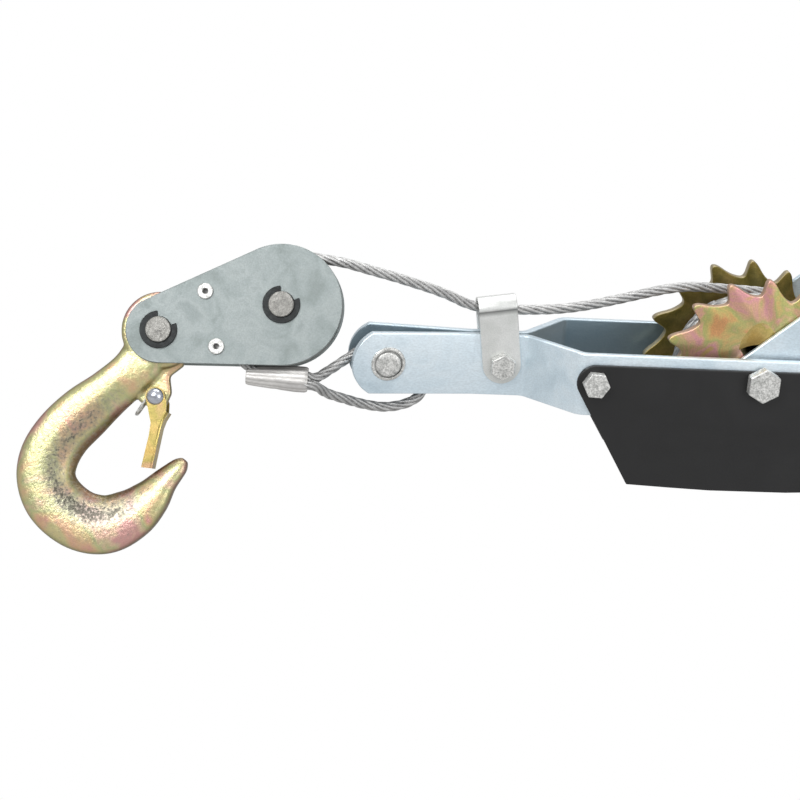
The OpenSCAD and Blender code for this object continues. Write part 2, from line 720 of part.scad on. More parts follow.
module hook_shape(eye_t) {
    difference() {
        union() {
            slab(-eye_t / 2, eye_t / 2) union() {
                circle(r = hook_eye_r);
                intersection() {
                    hook_outline();
                    circle(r = hook_thin_r);
                }
            }
            slab(-hook_t / 2, hook_t / 2) difference() {
                hook_outline();
                circle(r = hook_thin_r);
            }
            slab(-lug_half, lug_half) difference() {
                polygon(lug);
                circle(r = hook_eye_r - 1);
            }
        }
        rod(hook_bore, -hook_t, hook_t);
        rod(rivet_r + running, -hook_t, hook_t, latch_x, latch_z);
    }
}
module load_hook() color(yellow_zinc) in_load_hook() hook_shape(block_gap - 2 * gap);

module anchor_hook() color(yellow_zinc) in_anchor_hook() difference() {
    hook_shape(fork_gap - 2 * gap);
    rod(pin_r + running, -hook_t, hook_t);
}

// Sheet-metal latch: two cheeks and a web, from the rivet to the hook's tip
module latch_shape() translate([latch_x, 0, latch_z]) rotate([0, -latch_drop, 0]) difference() {
    web = [for (i = [2:len(latch_web) - 1]) latch_web[i]];
    union() {
        for (s = [0, 1]) mirror([0, s, 0]) slab(latch_half - latch_t, latch_half) union() {
            circle(r = 5.2);
            polygon(concat(latch_web, [[-latch_len, 4], [-21.5, 1.4], [-14.5, 1], [-2, 4.6], [0, 5.2]]));
        }
        slab(-latch_half + eps, latch_half - eps)
            polygon(concat(web, turned(moved(web, -latch_t))));
    }
    rod(rivet_r + running, -latch_half - 1, latch_half + 1);
}

module latch_rivet() {
    rod(rivet_r, -latch_half - 1, latch_half + 1, latch_x, latch_z);
    for (s = [0, 1]) mirror([0, s, 0])
        translate([latch_x, latch_half + gap, latch_z]) rotate([-90, 0, 0]) rotate_extrude() intersection() {
            translate([0, -3]) circle(r = 5.6);
            square([4.7, 5]);
        }
}

// Hairpin spring: a turn round the rivet on each side, joined by a loop that rests on the hook
module latch_spring() {
    y = (lug_half + latch_half - latch_t) / 2;
    r = rivet_r + gap + wire_r;
    side = concat(
        [for (a = [-210:30:60]) [latch_x + r * cos(a), y, latch_z + r * sin(a)]],
        [[latch_x - 5, y, latch_z + 4.6], [latch_x - 10, y, latch_z + 5.6]]
    );
    other = [for (p = turned(side)) [p[0], -p[1], p[2]]];
    loop = [
        [latch_x - 12, y - 0.8, latch_z + 6], [latch_x - 13, y - 2.6, latch_z + 6.2],
        [latch_x - 13, 2.6 - y, latch_z + 6.2], [latch_x - 12, 0.8 - y, latch_z + 6]
    ];
    sweep(concat(side, loop, other), wire_r, 6);
}

module load_latch() color(yellow_zinc) in_load_hook() latch_shape();

module load_latch_rivet() color(bright) in_load_hook() latch_rivet();

module load_latch_spring() color(bright) in_load_hook() latch_spring();

module anchor_latch() color(yellow_zinc) in_anchor_hook() latch_shape();

module anchor_latch_rivet() color(bright) in_anchor_hook() latch_rivet();

module anchor_latch_spring() color(bright) in_anchor_hook() latch_spring();

// ---------------------------------------------------------------- nodes

near_bar();
far_bar();
near_guard();
far_guard();
front_pin();
rear_pin();
cable_clip();
clip_bolt();
clip_nut();
guard_bolts();
axle_bolt();
axle_nut();
axle_washers();
pawl_bolt();
pawl_nut();
holding_spring();
holding_pawl();
cable();
cable_ferrule();
drum_barrel();
drum_hub();
near_ratchet();
far_ratchet();
cable_winding();
handle_near_plate();
handle_far_plate();
handle_tube();
handle_grip();
handle_rivets();
drive_pawl_pin();
drive_spring();
drive_pawl();
block_near_plate();
block_far_plate();
sheave_pin();
hook_pin();
block_circlips();
block_spacers();
block_rivets();
sheave();
load_hook();
load_latch();
load_latch_rivet();
load_latch_spring();
anchor_hook();
anchor_latch();
anchor_latch_rivet();
anchor_latch_spring();
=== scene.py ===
"""Looks for the come-along winch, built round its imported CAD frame.

Shapes are surfaces worked out on numpy grids, in millimetres about the drum
axle (+X towards the anchor, +Y to the far side, +Z up), and put in place with
the same turns and moves that the CAD model uses.
"""
import logging
from dataclasses import dataclass, field
from enum import Enum

import bmesh
import bpy
import numpy as np
from mathutils import Matrix, Vector


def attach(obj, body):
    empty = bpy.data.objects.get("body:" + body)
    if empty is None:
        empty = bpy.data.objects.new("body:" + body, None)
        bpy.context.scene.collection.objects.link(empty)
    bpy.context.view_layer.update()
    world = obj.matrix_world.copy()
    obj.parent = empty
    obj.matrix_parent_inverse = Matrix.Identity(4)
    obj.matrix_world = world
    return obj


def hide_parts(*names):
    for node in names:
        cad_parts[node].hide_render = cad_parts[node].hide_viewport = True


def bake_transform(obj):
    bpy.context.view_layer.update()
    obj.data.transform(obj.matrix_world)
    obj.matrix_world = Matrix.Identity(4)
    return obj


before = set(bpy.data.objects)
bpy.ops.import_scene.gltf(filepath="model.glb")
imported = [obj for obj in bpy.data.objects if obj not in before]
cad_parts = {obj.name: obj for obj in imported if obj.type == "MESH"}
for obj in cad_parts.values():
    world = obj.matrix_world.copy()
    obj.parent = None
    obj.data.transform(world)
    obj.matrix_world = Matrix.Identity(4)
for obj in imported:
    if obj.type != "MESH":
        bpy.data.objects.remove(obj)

LOG = logging.getLogger("winch")
AXLE = np.array([-252.0, 0.0, 5.5])  # the drum axle in the part's frame, in mm
SIDEWAYS = np.array([0.0, 1.0, 0.0])
SPREAD = 5.0 / 47.5  # how much the bars part for each millimetre towards the front pin


# ---------------------------------------------------------------- placing

def turn(axis: str, degrees: float) -> np.ndarray:
    """Rotation matrix about one axis.

    Args:
        axis: "x", "y" or "z".
        degrees: angle by the right-hand rule.
    Returns:
        A 3 by 3 matrix.
    """
    c, s = np.cos(np.radians(degrees)), np.sin(np.radians(degrees))
    return {
        "x": np.array([[1, 0, 0], [0, c, -s], [0, s, c]]),
        "y": np.array([[c, 0, s], [0, 1, 0], [-s, 0, c]]),
        "z": np.array([[c, -s, 0], [s, c, 0], [0, 0, 1]]),
    }[axis]


@dataclass(frozen=True)
class Place:
    """A local frame: where its origin lies and how it is turned, in mm about the drum axle."""

    at: np.ndarray
    turned: np.ndarray = field(default_factory=lambda: np.eye(3))

    def inside(self, at: tuple[float, float, float], turned: np.ndarray) -> "Place":
        """A frame given in this one, as a frame of the whole winch.

        Args:
            at: the inner frame's origin, in this frame.
            turned: the inner frame's rotation, in this frame.
        Returns:
            The inner frame about the drum axle.
        """
        return Place(self.at + self.turned @ np.array(at), self.turned @ turned)

    def out(self, points: np.ndarray) -> np.ndarray:
        """Local points as points about the drum axle, in mm."""
        return points @ self.turned.T + self.at


WINCH = Place(np.zeros(3))
BLOCK = Place(np.array([-263.0, 0.0, 22.0]), turn("z", -11.4) @ turn("x", -21.4) @ turn("y", -17.2))
LOAD_HOOK = BLOCK.inside((-68, 0, 0), turn("y", -55.7))
ANCHOR_HOOK = Place(np.array([172.0, 0.0, -5.5]), turn("z", 180))
HANDLE = Place(np.zeros(3), turn("y", -40))


# ---------------------------------------------------------------- surfaces

def unit(v: np.ndarray) -> np.ndarray:
    """Vectors along the last axis, scaled to length 1."""
    return v / np.maximum(np.linalg.norm(v, axis=-1, keepdims=True), 1e-9)


def grid_faces(rows: int, columns: int, first: int) -> np.ndarray:
    """Quads of a grid of points that closes on itself round its second parameter.

    Args:
        rows: points along the first parameter.
        columns: points along the second.
        first: index of the grid's first point.
    Returns:
        One row of four indices for each quad.
    """
    ids = first + np.arange(rows * columns).reshape(rows, columns)
    ids = np.hstack([ids, ids[:, :1]])
    return np.stack([ids[:-1, :-1], ids[1:, :-1], ids[1:, 1:], ids[:-1, 1:]], axis=-1).reshape(-1, 4)


@dataclass
class Shell:
    """Closed surfaces gathered into one piece: points in mm and faces as index lists."""

    points: list[np.ndarray] = field(default_factory=list)
    faces: list[list[int]] = field(default_factory=list)
    weights: list[np.ndarray] = field(default_factory=list)
    count: int = 0

    def add(self, grid: np.ndarray, weight: np.ndarray | None = None) -> "Shell":
        """Adds a tube-like grid, closed round its second parameter, with a flat face at each end.

        Args:
            grid: points as rows by columns by 3.
            weight: the "wall" attribute's value at each point, 0 where it is left out.
        Returns:
            This shell.
        """
        rows, columns = grid.shape[:2]
        last = self.count + (rows - 1) * columns
        self.faces += grid_faces(rows, columns, self.count).tolist()
        self.faces.append(list(range(self.count + columns - 1, self.count - 1, -1)))
        self.faces.append(list(range(last, last + columns)))
        self.points.append(grid.reshape(-1, 3))
        self.weights.append(np.zeros(rows * columns) if weight is None else weight.reshape(-1))
        self.count += rows * columns
        return self

    def piece(self, name: str, place: Place = WINCH, sharp: float = 35.0) -> bpy.types.Object:
        """Makes the object, in metres in the part's frame, with its faces turned outwards.

        Args:
            name: the piece's name.
            place: the frame that the points are given in.
            sharp: edges steeper than this many degrees stay sharp.
        Returns:
            The new object.
        """
        mesh = bpy.data.meshes.new(name)
        points = (place.out(np.concatenate(self.points)) + AXLE) / 1000
        mesh.from_pydata(points.tolist(), [], self.faces)
        store = mesh.attributes.new("wall", "FLOAT", "POINT")
        store.data.foreach_set("value", np.concatenate(self.weights).astype(np.float32))
        return finish_mesh(name, mesh, sharp)


def finish_mesh(name: str, mesh: bpy.types.Mesh, sharp: float) -> bpy.types.Object:
    """Turns a mesh's faces outwards, shades it and links its object.

    Args:
        name: the object's name.
        mesh: the mesh, in metres.
        sharp: edges steeper than this many degrees stay sharp.
    Returns:
        The object.
    """
    work = bmesh.new()
    work.from_mesh(mesh)
    bmesh.ops.remove_doubles(work, verts=work.verts, dist=1e-6)
    bmesh.ops.recalc_face_normals(work, faces=work.faces)
    work.to_mesh(mesh)
    work.free()
    mesh.shade_smooth()
    mesh.set_sharp_from_angle(angle=np.radians(sharp))
    piece = bpy.data.objects.new(name, mesh)
    bpy.context.scene.collection.objects.link(piece)
    return piece


def rounded_plate(outline: np.ndarray, y0: float, y1: float, edge: float, steps: int = 3) -> np.ndarray:
    """A flat outline thickened along Y, with quarter-round edges.

    Each row is the outline moved inwards by edge * (1 - cos a) while its depth
    goes from the face by edge * (1 - sin a), for a from 0 to 90 degrees.

    Args:
        outline: x and z of the outline's points, in order.
        y0: depth of the near face.
        y1: depth of the far face.
        edge: radius of the rounded edges.
        steps: rows to each rounded edge.
    Returns:
        A grid of points, rows by columns by 3.
    """
    along = unit(np.roll(outline, -1, axis=0) - np.roll(outline, 1, axis=0))
    inwards = np.stack([-along[:, 1], along[:, 0]], axis=-1)
    area = np.sum(outline[:, 0] * np.roll(outline[:, 1], -1) - np.roll(outline[:, 0], -1) * outline[:, 1])
    inwards = inwards * (1 if area > 0 else -1)
    a = np.linspace(0, np.pi / 2, steps + 1)
    inset = np.concatenate([edge * (1 - np.sin(a)), edge * (1 - np.sin(a[::-1]))])
    depth = np.concatenate([y0 + edge * (1 - np.cos(a)), y1 - edge * (1 - np.cos(a[::-1]))])
    flat = outline[None] + inwards[None] * inset[:, None, None]
    return np.stack([flat[..., 0], np.broadcast_to(depth[:, None], flat.shape[:2]), flat[..., 1]], axis=-1)


def rounded_box_ring(wide: float, tall: float, edge: float, steps: int = 4) -> np.ndarray:
    """Outline of a rectangle with round corners.

    Args:
        wide: full size along the first axis.
        tall: full size along the second axis.
        edge: radius of the corners.
        steps: points to each corner.
    Returns:
        Points of the outline, counted by 2.
    """
    a = np.radians(np.linspace(0, 90, steps + 1))
    quarter = np.stack([np.cos(a), np.sin(a)], axis=-1) * edge
    rings = []
    for sx, sz in ((1, 1), (-1, 1), (-1, -1), (1, -1)):
        corner = quarter * (sx, sz) + (sx * (wide / 2 - edge), sz * (tall / 2 - edge))
        rings.append(corner if sx * sz > 0 else corner[::-1])
    return np.concatenate(rings)


def fillet_path(points: np.ndarray, radius: float, steps: int = 6) -> np.ndarray:
    """A polyline with each inner corner replaced by a tangent arc.

    Args:
        points: corners, counted by 2.
        radius: radius of the arcs.
        steps: points to each arc.
    Returns:
        Points along the rounded line.
    """
    line = [points[0]]
    for before, corner, after in zip(points[:-2], points[1:-1], points[2:]):
        u, v = unit(before - corner), unit(after - corner)
        half = np.arccos(np.clip(u @ v, -1, 1)) / 2
        if half > np.radians(89.5):
            line.append(corner)
            continue
        reach = radius / np.tan(half)
        centre = corner + unit(u + v) * radius / np.sin(half)
        start, end = corner + u * reach - centre, corner + v * reach - centre
        sweep = np.arctan2(start[0] * end[1] - start[1] * end[0], start @ end)
        a = np.linspace(0, sweep, steps + 1)
        arc = np.stack([start[0] * np.cos(a) - start[1] * np.sin(a), start[0] * np.sin(a) + start[1] * np.cos(a)], -1)
        line += list(centre + arc)
    line.append(points[-1])
    return np.array(line)


def smooth_line(points: np.ndarray, step: float) -> np.ndarray:
    """Catmull-Rom curve through points, resampled at even distances.

    Args:
        points: the points that it passes through, counted by any number of values.
        step: distance between the samples, measured on the first three values.
    Returns:
        The samples.
    """
    full = np.concatenate([2 * points[:1] - points[1:2], points, 2 * points[-1:] - points[-2:-1]])
    t = np.linspace(0, 1, 12, endpoint=False)[None, :, None]
    a, b, c, d = (full[i:len(full) - 3 + i][:, None] for i in range(4))
    curve = 0.5 * (2 * b + (c - a) * t + (2 * a - 5 * b + 4 * c - d) * t**2 + (3 * b - a - 3 * c + d) * t**3)
    curve = np.concatenate([curve.reshape(-1, points.shape[1]), points[-1:]])
    gone = np.concatenate([[0], np.cumsum(np.linalg.norm(np.diff(curve[:, :3], axis=0), axis=1))])
    at = np.linspace(0, gone[-1], max(int(gone[-1] / step), 2))
    return np.stack([np.interp(at, gone, curve[:, k]) for k in range(points.shape[1])], axis=-1)


def carried_frames(path: np.ndarray) -> tuple[np.ndarray, np.ndarray]:
    """Two directions square to a path that turn as little as they can along it.

    Each step removes from the last direction its part along the new tangent.

    Args:
        path: points counted by 3.
    Returns:
        The two directions at each point.
    """
    tangent = unit(np.gradient(path, axis=0))
    across = np.empty_like(path)
    across[0] = unit(np.cross(tangent[0], np.array([0.3, 0.1, 0.9])))
    for i in range(1, len(path)):
        across[i] = unit(across[i - 1] - (across[i - 1] @ tangent[i]) * tangent[i])
    return across, np.cross(tangent, across)


# ---------------------------------------------------------------- finishes

def linear(colour: str) -> tuple[float, float, float, float]:
    """An sRGB hex colour such as "#a0b0c0" as linear red, green, blue and alpha."""
    srgb = np.array([int(colour[i:i + 2], 16) for i in (1, 3, 5)]) / 255
    value = np.where(srgb <= 0.04045, srgb / 12.92, ((srgb + 0.055) / 1.055) ** 2.4)
    return (*value.tolist(), 1.0)


def put(tree: bpy.types.NodeTree, kind: str, settings: dict | None = None,
        links: dict | None = None) -> bpy.types.Node:
    """Adds a shader node.

    Args:
        tree: the material's node tree.
        kind: the node's type name.
        settings: attribute names, socket names or socket numbers, and their values.
        links: input socket names or numbers and the output sockets that feed them.
    Returns:
        The node.
    """
    node = tree.nodes.new(kind)
    for name, value in (settings or {}).items():
        if not isinstance(name, int) and hasattr(node, name):
            setattr(node, name, value)
        else:
            node.inputs[name].default_value = value
    for name, source in (links or {}).items():
        tree.links.new(source, node.inputs[name])
    return node


BARE_STEEL = "#8e8b82"  # where a coat is rubbed thin
MIX_A, MIX_B, MIX_OUT = 6, 7, 2  # the colour sockets of a Mix node


@dataclass(frozen=True)
class Finish:
    """One real material with its surface process, drawn as patches of colour, fine specks and relief.

    Sizes are in mm: patch is the width of the colour patches, grain of the
    relief's bumps, speck of the fine marks. stretch squeezes the pattern along
    the object's axes, and edge is the colour put where the piece's own "wall"
    attribute is high: the walls square to a piece's flat faces, and on several
    pieces painted shade in creases, grooves, troughs, under the hood and on faces
    turned inwards. band lets the colours shift towards the walls too.
    worn is the colour of the pits where the piece's own "worn" attribute is high.
    """

    name: str
    colours: tuple[str, ...]
    patch: float
    metallic: float
    rough: tuple[float, float]
    grain: float
    relief: float
    speck: float = 0.6
    speck_depth: float = 0.15
    stretch: tuple[float, float, float] = (1.0, 1.0, 1.0)
    edge: str | None = None
    edge_amount: float = 0.8
    coat: float = 0.0
    band: float = 0.0
    worn: str | None = None

    def material(self) -> bpy.types.Material:
        """Builds the material once and returns it afterwards."""
        known = bpy.data.materials.get(self.name)
        if known:
            return known
        made = bpy.data.materials.new(self.name)
        made.use_nodes = True
        tree = made.node_tree
        tree.nodes.clear()
        coords = put(tree, "ShaderNodeTexCoord")
        mapped = put(tree, "ShaderNodeMapping", {"Scale": self.stretch}, {"Vector": coords.outputs["Object"]})
        place = mapped.outputs["Vector"]
        patches = put(tree, "ShaderNodeTexNoise", {"Scale": 1000 / self.patch, "Detail": 3.0, "Roughness": 0.55,
                                                   "Distortion": 0.6}, {"Vector": place})
        wall = put(tree, "ShaderNodeAttribute", {"attribute_name": "wall"})
        shifted = put(tree, "ShaderNodeMath", {"operation": "MULTIPLY_ADD", 1: self.band},
                      {0: wall.outputs["Fac"], 2: patches.outputs["Fac"]})
        ramp = put(tree, "ShaderNodeValToRGB", {}, {"Fac": shifted.outputs[0]})
        stops = np.linspace(0.32, 0.68, len(self.colours))
        for index, (stop, colour) in enumerate(zip(stops, self.colours)):
            element = ramp.color_ramp.elements[index] if index < 2 else ramp.color_ramp.elements.new(stop)
            element.position, element.color = stop, linear(colour)
        specks = put(tree, "ShaderNodeTexNoise", {"Scale": 1000 / self.speck, "Detail": 2.0}, {"Vector": place})
        low, high = 1 - self.speck_depth, 1 + 0.4 * self.speck_depth
        shade = put(tree, "ShaderNodeMapRange",
                    {"From Min": 0.35, "From Max": 0.65, "To Min": low, "To Max": high},
                    {"Value": specks.outputs["Fac"]})
        colour = put(tree, "ShaderNodeVectorMath", {"operation": "SCALE"},
                     {0: ramp.outputs["Color"], "Scale": shade.outputs["Result"]}).outputs["Vector"]
        if self.edge:
            amount = put(tree, "ShaderNodeMath", {"operation": "MULTIPLY", 1: self.edge_amount},
                         {0: wall.outputs["Fac"]})
            colour = put(tree, "ShaderNodeMix", {"data_type": "RGBA", MIX_B: linear(self.edge)},
                         {"Factor": amount.outputs[0], MIX_A: colour}).outputs[MIX_OUT]
        if self.worn:
            worn = put(tree, "ShaderNodeAttribute", {"attribute_name": "worn"})
            pits = put(tree, "ShaderNodeMath", {"operation": "ADD"},
                       {0: worn.outputs["Fac"], 1: specks.outputs["Fac"]})
            for tint, start, full, most in ((BARE_STEEL, 0.5, 1.0, 0.85), (self.worn, 0.9, 1.14, 0.85)):
                share = put(tree, "ShaderNodeMapRange", {"From Min": start, "From Max": full, "To Max": most},
                            {"Value": pits.outputs[0]})
                colour = put(tree, "ShaderNodeMix", {"data_type": "RGBA", MIX_B: linear(tint)},
                             {"Factor": share.outputs["Result"], MIX_A: colour}).outputs[MIX_OUT]
        grain = put(tree, "ShaderNodeTexNoise", {"Scale": 1000 / self.grain, "Detail": 4.0, "Roughness": 0.6},
                    {"Vector": place})
        rough = put(tree, "ShaderNodeMapRange", {"From Min": 0.3, "From Max": 0.7, "To Min": self.rough[0],
                                                 "To Max": self.rough[1]}, {"Value": grain.outputs["Fac"]})
        bump = put(tree, "ShaderNodeBump", {"Strength": 1.0, "Distance": self.relief / 1000},
                   {"Height": grain.outputs["Fac"]})
        shader = put(tree, "ShaderNodeBsdfPrincipled", {"Metallic": self.metallic, "Coat Weight": self.coat},
                     {"Base Color": colour, "Roughness": rough.outputs["Result"], "Normal": bump.outputs["Normal"]})
        put(tree, "ShaderNodeOutputMaterial", {}, {"Surface": shader.outputs["BSDF"]})
        return made


# Bright zinc plate on rolled bar: cool, slightly blue, with soft long clouds from rolling; its dark edge colour
# is painted shade on the bars' faces turned to the inside of the frame
ZINC = Finish("bright_zinc_on_rolled_bar", ("#cddee8", "#deedf6", "#e8f4fb", "#d5e6f0"), 34, 0.66,
              (0.3, 0.46), 1.4, 0.05, 0.7, 0.08, (0.5, 1.0, 1.0), edge="#667d89", edge_amount=0.85)
# Matt zinc on pressed plate: grey-green blotches about 20 mm wide
DULL_ZINC = Finish("matt_zinc_on_pressed_plate", ("#89918f", "#959d9c", "#9ea5a4", "#8f9796"), 18, 0.68,
                   (0.42, 0.58), 0.9, 0.04, 0.8, 0.08, edge="#5d686b", edge_amount=0.6)
# Yellow chromate on a forging: patches of peach, yellow green and pink over the dies' relief, darker olive
# towards the walls square to its flat faces, and grey pits where the hook is worn
CHROMATE = Finish("yellow_chromate_on_forging",
                  ("#e6a9a0", "#eac39c", "#dfd09c", "#cbcd98", "#e8cfab", "#e4b0a8"), 26, 0.82,
                  (0.26, 0.44), 2.2, 0.25, 1.6, 0.12, edge="#5b4a22", edge_amount=0.95, band=0.16, worn="#45443c")
# The same coat on blanked plate: orange, green and pink clouds with paler cut edges
CHROMATE_PLATE = Finish("yellow_chromate_on_plate",
                        ("#dba36e", "#d2bb78", "#b6b974", "#dcb18e", "#de9fa4", "#d2b074"), 18, 0.8,
                        (0.28, 0.44), 0.9, 0.08, 0.8, 0.14, edge="#c9aa94", edge_amount=0.9)
# The same coat on the far wheel, toned down to olive brown because little light gets between the wheels
CHROMATE_DARK = Finish("yellow_chromate_in_shade", ("#66602c", "#7a6e36", "#8a7842", "#5c5728"), 15, 0.8,
                       (0.34, 0.5), 0.9, 0.08, 0.8, 0.16, edge="#b5a98c", edge_amount=0.95)
# The same coat on thin folded sheet: an even straw yellow, with painted shade at the folds and under the hood's open
# edge
CHROMATE_SHEET = Finish("yellow_chromate_on_sheet", ("#c2a25c", "#d0b672", "#b3a761", "#cda683"), 14, 0.78,
                        (0.28, 0.42), 0.8, 0.05, 0.7, 0.14, edge="#7a6232", edge_amount=0.8)
# Satin black paint on sheet: an even grey-black with orange-peel relief
BLACK_PAINT = Finish("satin_black_paint_on_sheet", ("#0f0f10", "#131314", "#171718"), 30, 0.0,
                     (0.42, 0.52), 1.3, 0.04, 0.7, 0.08, coat=0.05)
# Bright zinc on cold-headed fasteners: pale grey, pitted, with dark plating specks; its dark edge colour is
# painted shade in the swaged pins' grooves
FASTENER = Finish("bright_zinc_on_fasteners", ("#bfc0bd", "#dededb", "#e8e8e5"), 3.2, 0.6,
                  (0.3, 0.5), 1.1, 0.16, 0.9, 0.35, edge="#3b3b3a", edge_amount=0.9)
# Bright zinc on bent strip: nearly white, smooth, with painted shade only in the crease
CLIP_ZINC = Finish("bright_zinc_on_strip", ("#d9dbd8", "#e3e4e2", "#e9eae8"), 14, 0.6,
                   (0.32, 0.44), 0.8, 0.03, 0.6, 0.08, edge="#4a4c4b", edge_amount=0.85)
# Polished rivet steel: cool and mirror-like
RIVET_STEEL = Finish("polished_rivet_steel", ("#b9bdc8", "#d3d6de"), 5, 0.9, (0.16, 0.26), 0.8, 0.02, 0.6, 0.06)
# Turned steel pins and sheave: darker grey with coarse specks
PIN_STEEL = Finish("turned_steel", ("#6f6e6b", "#858480", "#959490"), 4, 0.85,
                   (0.32, 0.48), 0.9, 0.1, 0.7, 0.25)
# Blackened spring steel rings: near-black with a dull sheen
BLACK_STEEL = Finish("blackened_spring_steel", ("#17191a", "#232627", "#2e3232"), 3, 0.5,
                     (0.38, 0.5), 0.6, 0.03)
# Pressed aluminium sleeve: pale grey with the press's long soft ridges, and painted shade in the troughs between them
ALUMINIUM = Finish("pressed_aluminium", ("#c6c4c2", "#dad8d5", "#e4e2df"), 6, 0.55,
                   (0.36, 0.5), 1.0, 0.08, 0.7, 0.1, (0.25, 1.0, 1.0), edge="#8d8a87", edge_amount=0.5)
# Galvanised rope wires: light strands with painted shade in the lay lines between them
ROPE = Finish("galvanised_rope_wire", ("#a9a9a9", "#bcbcbb", "#c8c8c7"), 5, 0.7,
              (0.34, 0.5), 0.5, 0.08, 0.5, 0.2, edge="#383634", edge_amount=1.0)
# Moulded rubber grip: near-black with a fine matt grain
RUBBER = Finish("moulded_rubber", ("#161616", "#1d1d1e", "#232324"), 12, 0.0, (0.55, 0.7), 0.8, 0.12)


def wall_weight(piece: bpy.types.Object, axis: np.ndarray, one_way: bool = False) -> None:
    """Stores a "wall" attribute: 0 where the surface faces along the axis, 1 where it is square to it.

    The weight is (1 - (n . axis)^2)^2. One way, it is the positive part of
    n . axis instead, which marks the faces that look along the axis.

    Args:
        piece: the object whose mesh gets the attribute.
        axis: the piece's flat direction, in the part's frame.
        one_way: whether to mark the faces along the axis.
    """
    mesh = piece.data
    normals = np.empty(len(mesh.vertices) * 3)
    mesh.vertex_normals.foreach_get("vector", normals)
    facing = normals.reshape(-1, 3) @ unit(axis)
    weight = np.maximum(facing, 0) if one_way else (1 - facing**2) ** 2
    store = mesh.attributes.get("wall") or mesh.attributes.new("wall", "FLOAT", "POINT")
    store.data.foreach_set("value", weight.astype(np.float32))


def dress(piece: bpy.types.Object, finish: Finish, body: str, nodes: tuple[str, ...]) -> bpy.types.Object:
    """Gives a piece its material and its CAD body, and hides the CAD nodes that it stands for.

    Args:
        piece: the new object.
        finish: its finish.
        body: the CAD body that it rides on.
        nodes: CAD nodes that it replaces.
    Returns:
        The piece.
    """
    piece.data.materials.clear()
    piece.data.materials.append(finish.material())
    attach(piece, body)
    if nodes:
        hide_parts(*nodes)
    LOG.info("%s: %d faces on %s", piece.name, len(piece.data.polygons), body)
    return piece


def softened(node: str, edge: float, axis: np.ndarray | None = None) -> bpy.types.Object:
    """A merged copy of a CAD node whose sharp edges are broken by a small bevel.

    Args:
        node: the CAD node.
        edge: the bevel's width in mm.
        axis: the flat direction for the "wall" attribute, if the finish uses it.
    Returns:
        The new object.
    """
    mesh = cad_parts[node].data.copy()
    mesh.name = node + "_dressed"
    work = bmesh.new()
    work.from_mesh(mesh)
    bmesh.ops.remove_doubles(work, verts=work.verts, dist=2e-6)
    bmesh.ops.dissolve_limit(work, angle_limit=np.radians(1.5), verts=work.verts, edges=work.edges)
    work.to_mesh(mesh)
    work.free()
    piece = finish_mesh(mesh.name, mesh, 32)
    bevel = piece.modifiers.new("edge", "BEVEL")
    bevel.width, bevel.segments, bevel.limit_method = edge / 1000, 2, "ANGLE"
    bevel.angle_limit = np.radians(35)
    if axis is not None:
        wall_weight(piece, axis)
    return piece


# ---------------------------------------------------------------- sub-assemblies

class Side(Enum):
    """Which side of the winch a mirrored piece is on."""

    NEAR = -1
    FAR = 1


